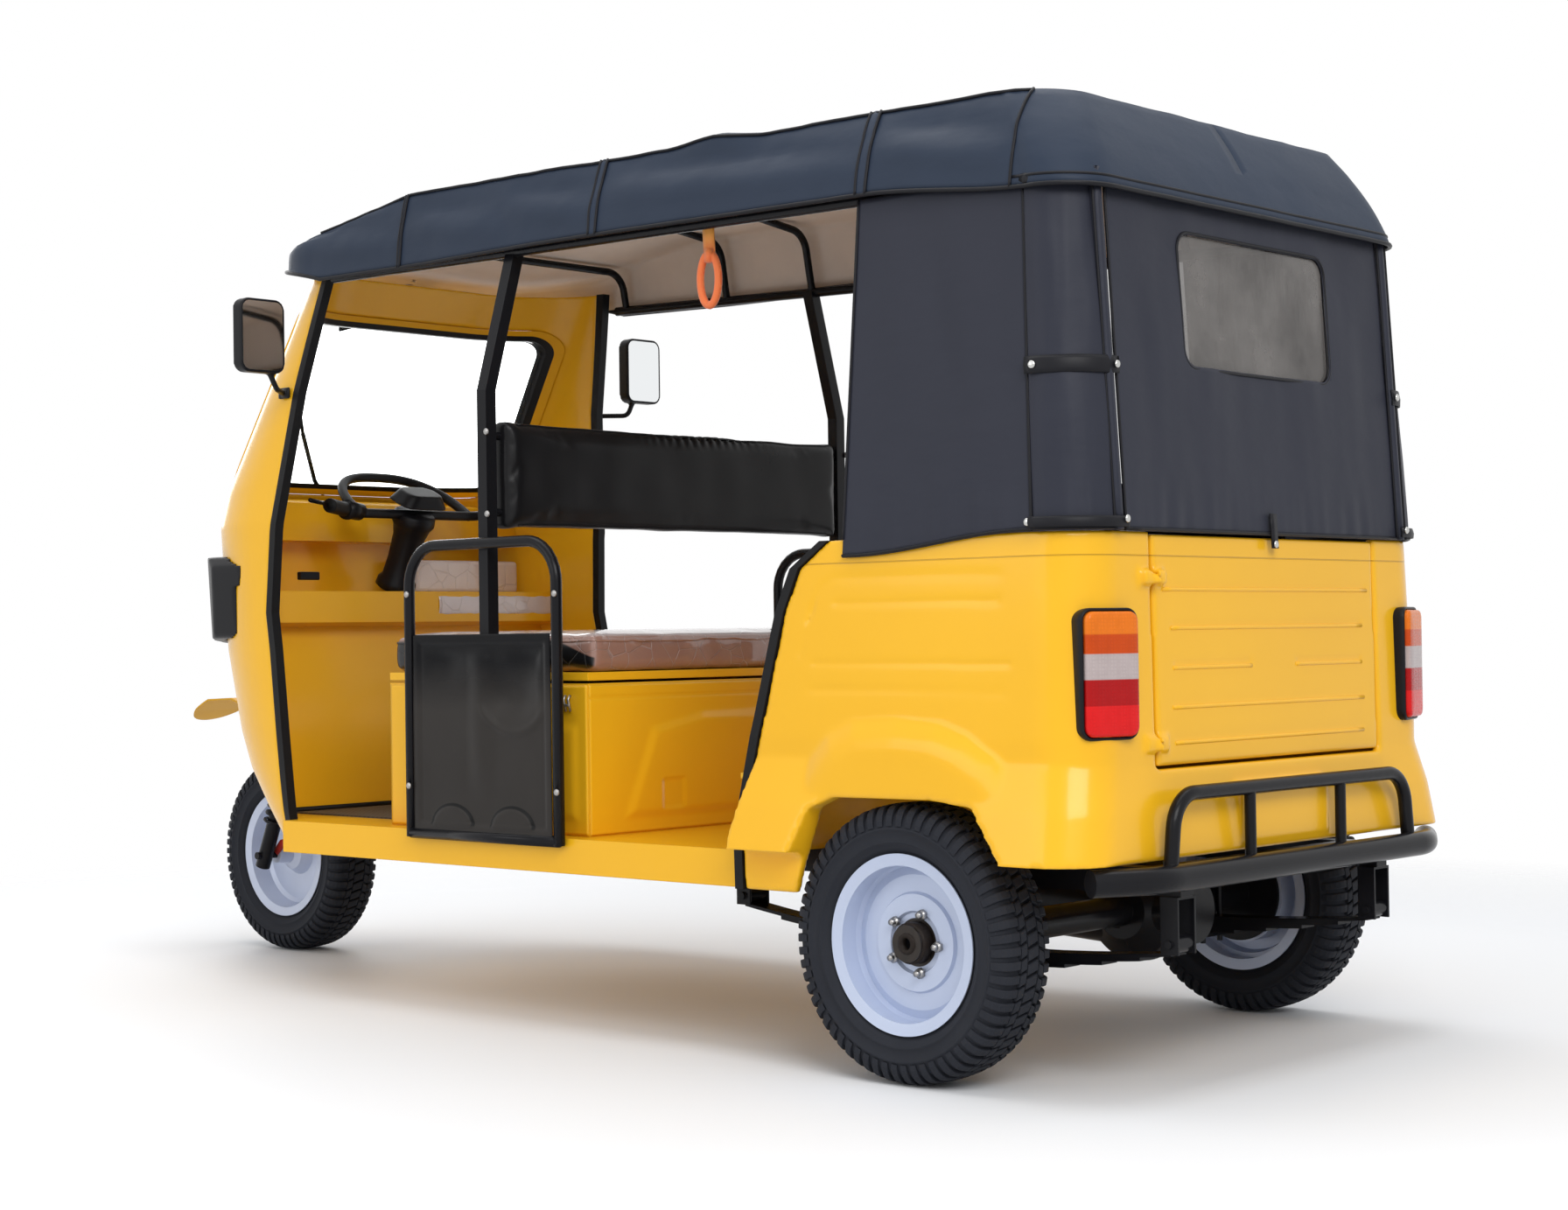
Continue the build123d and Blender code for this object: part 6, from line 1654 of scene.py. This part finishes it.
# %% Grips, levers and switches
LEVER = ((1.318, -0.030, 0.235), (1.312, 0.012, 0.250), (1.322, -0.005, 0.320), (1.342, -0.042, 0.385))
SWITCH = ((1.312, -0.036, 0.215), (1.324, -0.052, 0.268))  # along, ahead and to the side
grips, flanges = [], []
for side, _ in SIDES:
    inner = steer(BAR_ALONG + BAR_RISE * 0.4, -BAR_SWEEP * 0.4, side * BAR_REACH * 0.7)
    end = steer(BAR_ALONG + BAR_RISE, -BAR_SWEEP, side * BAR_REACH)
    grips.append([inner.lerp(end, k / 24) for k in range(25)])
    flanges.append([inner.lerp(end, 0.02), inner.lerp(end, 0.07)])
ribbed = [0.0175 + 0.0012 * (k % 2) for k in range(25)]
bars("hand_grips", grips, ribbed, rubber, "steering", "moulded_black", sides=18)
bars("grip_flanges", flanges, 0.026, rubber, "steering", "moulded_black", sides=18)
levers = [[steer(along, ahead, side * x) for along, ahead, x in LEVER] for side, _ in SIDES]
switches = [[steer(along, ahead, side * x) for along, ahead, x in SWITCH] for side, _ in SIDES]
bars("brake_levers", levers, 0.0055, black_paint, "steering", sides=10)
bars("switch_blocks", switches, 0.024, moulded, "steering", sides=14, flat=0.85)

# %% Fork springs and the front brake's arm
SPRING_TURNS, SPRING_LONG, SPRING_RADIUS, SPRING_X, SPRING_UP = 9, 0.20, 0.0275, 0.116, 0.10
BACK_FROM_FOOT = STEER_FOOT - FRONT_AXLE  # from the steering axis's foot back to the axle
AXLE_ALONG = BACK_FROM_FOOT * math.sin(STEER_RAKE) + TYRE_RADIUS * math.cos(STEER_RAKE)
AXLE_AHEAD = TYRE_RADIUS * math.sin(STEER_RAKE) - BACK_FROM_FOOT * math.cos(STEER_RAKE)
springs = []
for side, _ in SIDES:
    turns = []
    for k in range(SPRING_TURNS * 20 + 1):
        angle = 2 * math.pi * k / 20
        ahead = AXLE_AHEAD + SPRING_RADIUS * math.cos(angle)
        along = AXLE_ALONG + SPRING_UP + SPRING_LONG * k / (SPRING_TURNS * 20)
        turns.append(steer(along, ahead, side * SPRING_X + SPRING_RADIUS * math.sin(angle)))
    springs.append(turns)
bars("fork_springs", springs, 0.0045, black_paint, "steering", sides=8)
red_paint = simple("red_brake_lever", (0.45, 0.03, 0.02), 0.4, "frame_black")
ARM = ((0.085, 0, 0), (0.092, 0.045, 0.035), (0.092, 0.085, 0.045))  # from the wheel's middle
arm = [Vector(WHEELS["front"][0]) + Vector(p) for p in ARM]
bars("brake_arm", [arm], 0.010, red_paint, "steering", sides=10, flat=0.5)
tell("steering")

# %% Linings of the cab
pad = rounded_box("dash_pad", (-0.470, fore(2.398), 0.976), (-0.095, fore(2.30), 1.066), 0.014, seat_film)
padded(pad, 2)
bars("floor_seal", [[(x, fore(2.156), 0.4262) for x in (-0.500, 0.500)]], 0.0065, rubber, sides=12)
rounded_box("dash_catch", (0.300, fore(2.214), 1.006), (0.360, fore(2.196), 1.027), 0.004, moulded)
rolled("mirror_shells", "mirror_housings", moulded, "chassis", 0.0035, 3)
rolled("headlamp_shells", "headlamp_housings", moulded, "chassis", 0.005, 5)
rolled("pod_shell", "display_pod", moulded, "steering", 0.0035, 7)
STRIP_WIDE, STRIP_TALL = 0.41, 0.056
strip_rows = []
for i in range(9):
    up = i / 8
    row = []
    for across in (j / 40 for j in range(41)):
        swell = 0.005 * math.sin(math.pi * up) ** 0.5 + 0.0015 * waves((across * 0.5, up * 0.06, 2.0), 0.03)
        row.append(Vector((-0.095 - STRIP_WIDE * across, fore(2.202) + swell, 0.914 + STRIP_TALL * up)))
    strip_rows.append(row)
wall(grid("dash_strip", strip_rows, seat_film), 0.0016)
tell("linings")

# %% Bolts on the pillars and guards
BOLT_X = {"pillar": 0.6055, "guard": 0.6335}
BOLTS = (  # what each bolt sits on, its station and its level
    ("pillar", 1.196, 1.307), ("pillar", 1.196, 1.125), ("guard", 1.443, 0.952), ("guard", 0.952, 0.944),
    ("guard", 1.443, 0.520), ("guard", 0.952, 0.520),
)
bolts = [
    (Vector((side * BOLT_X[on], fore(station), z)), facing((side, 0, 0)))
    for side, _ in SIDES for on, station, z in BOLTS
]
repeat("frame_bolts", stud_mesh(0.0075, 0.005, 12), bolts, zinc)
tell("bolts")
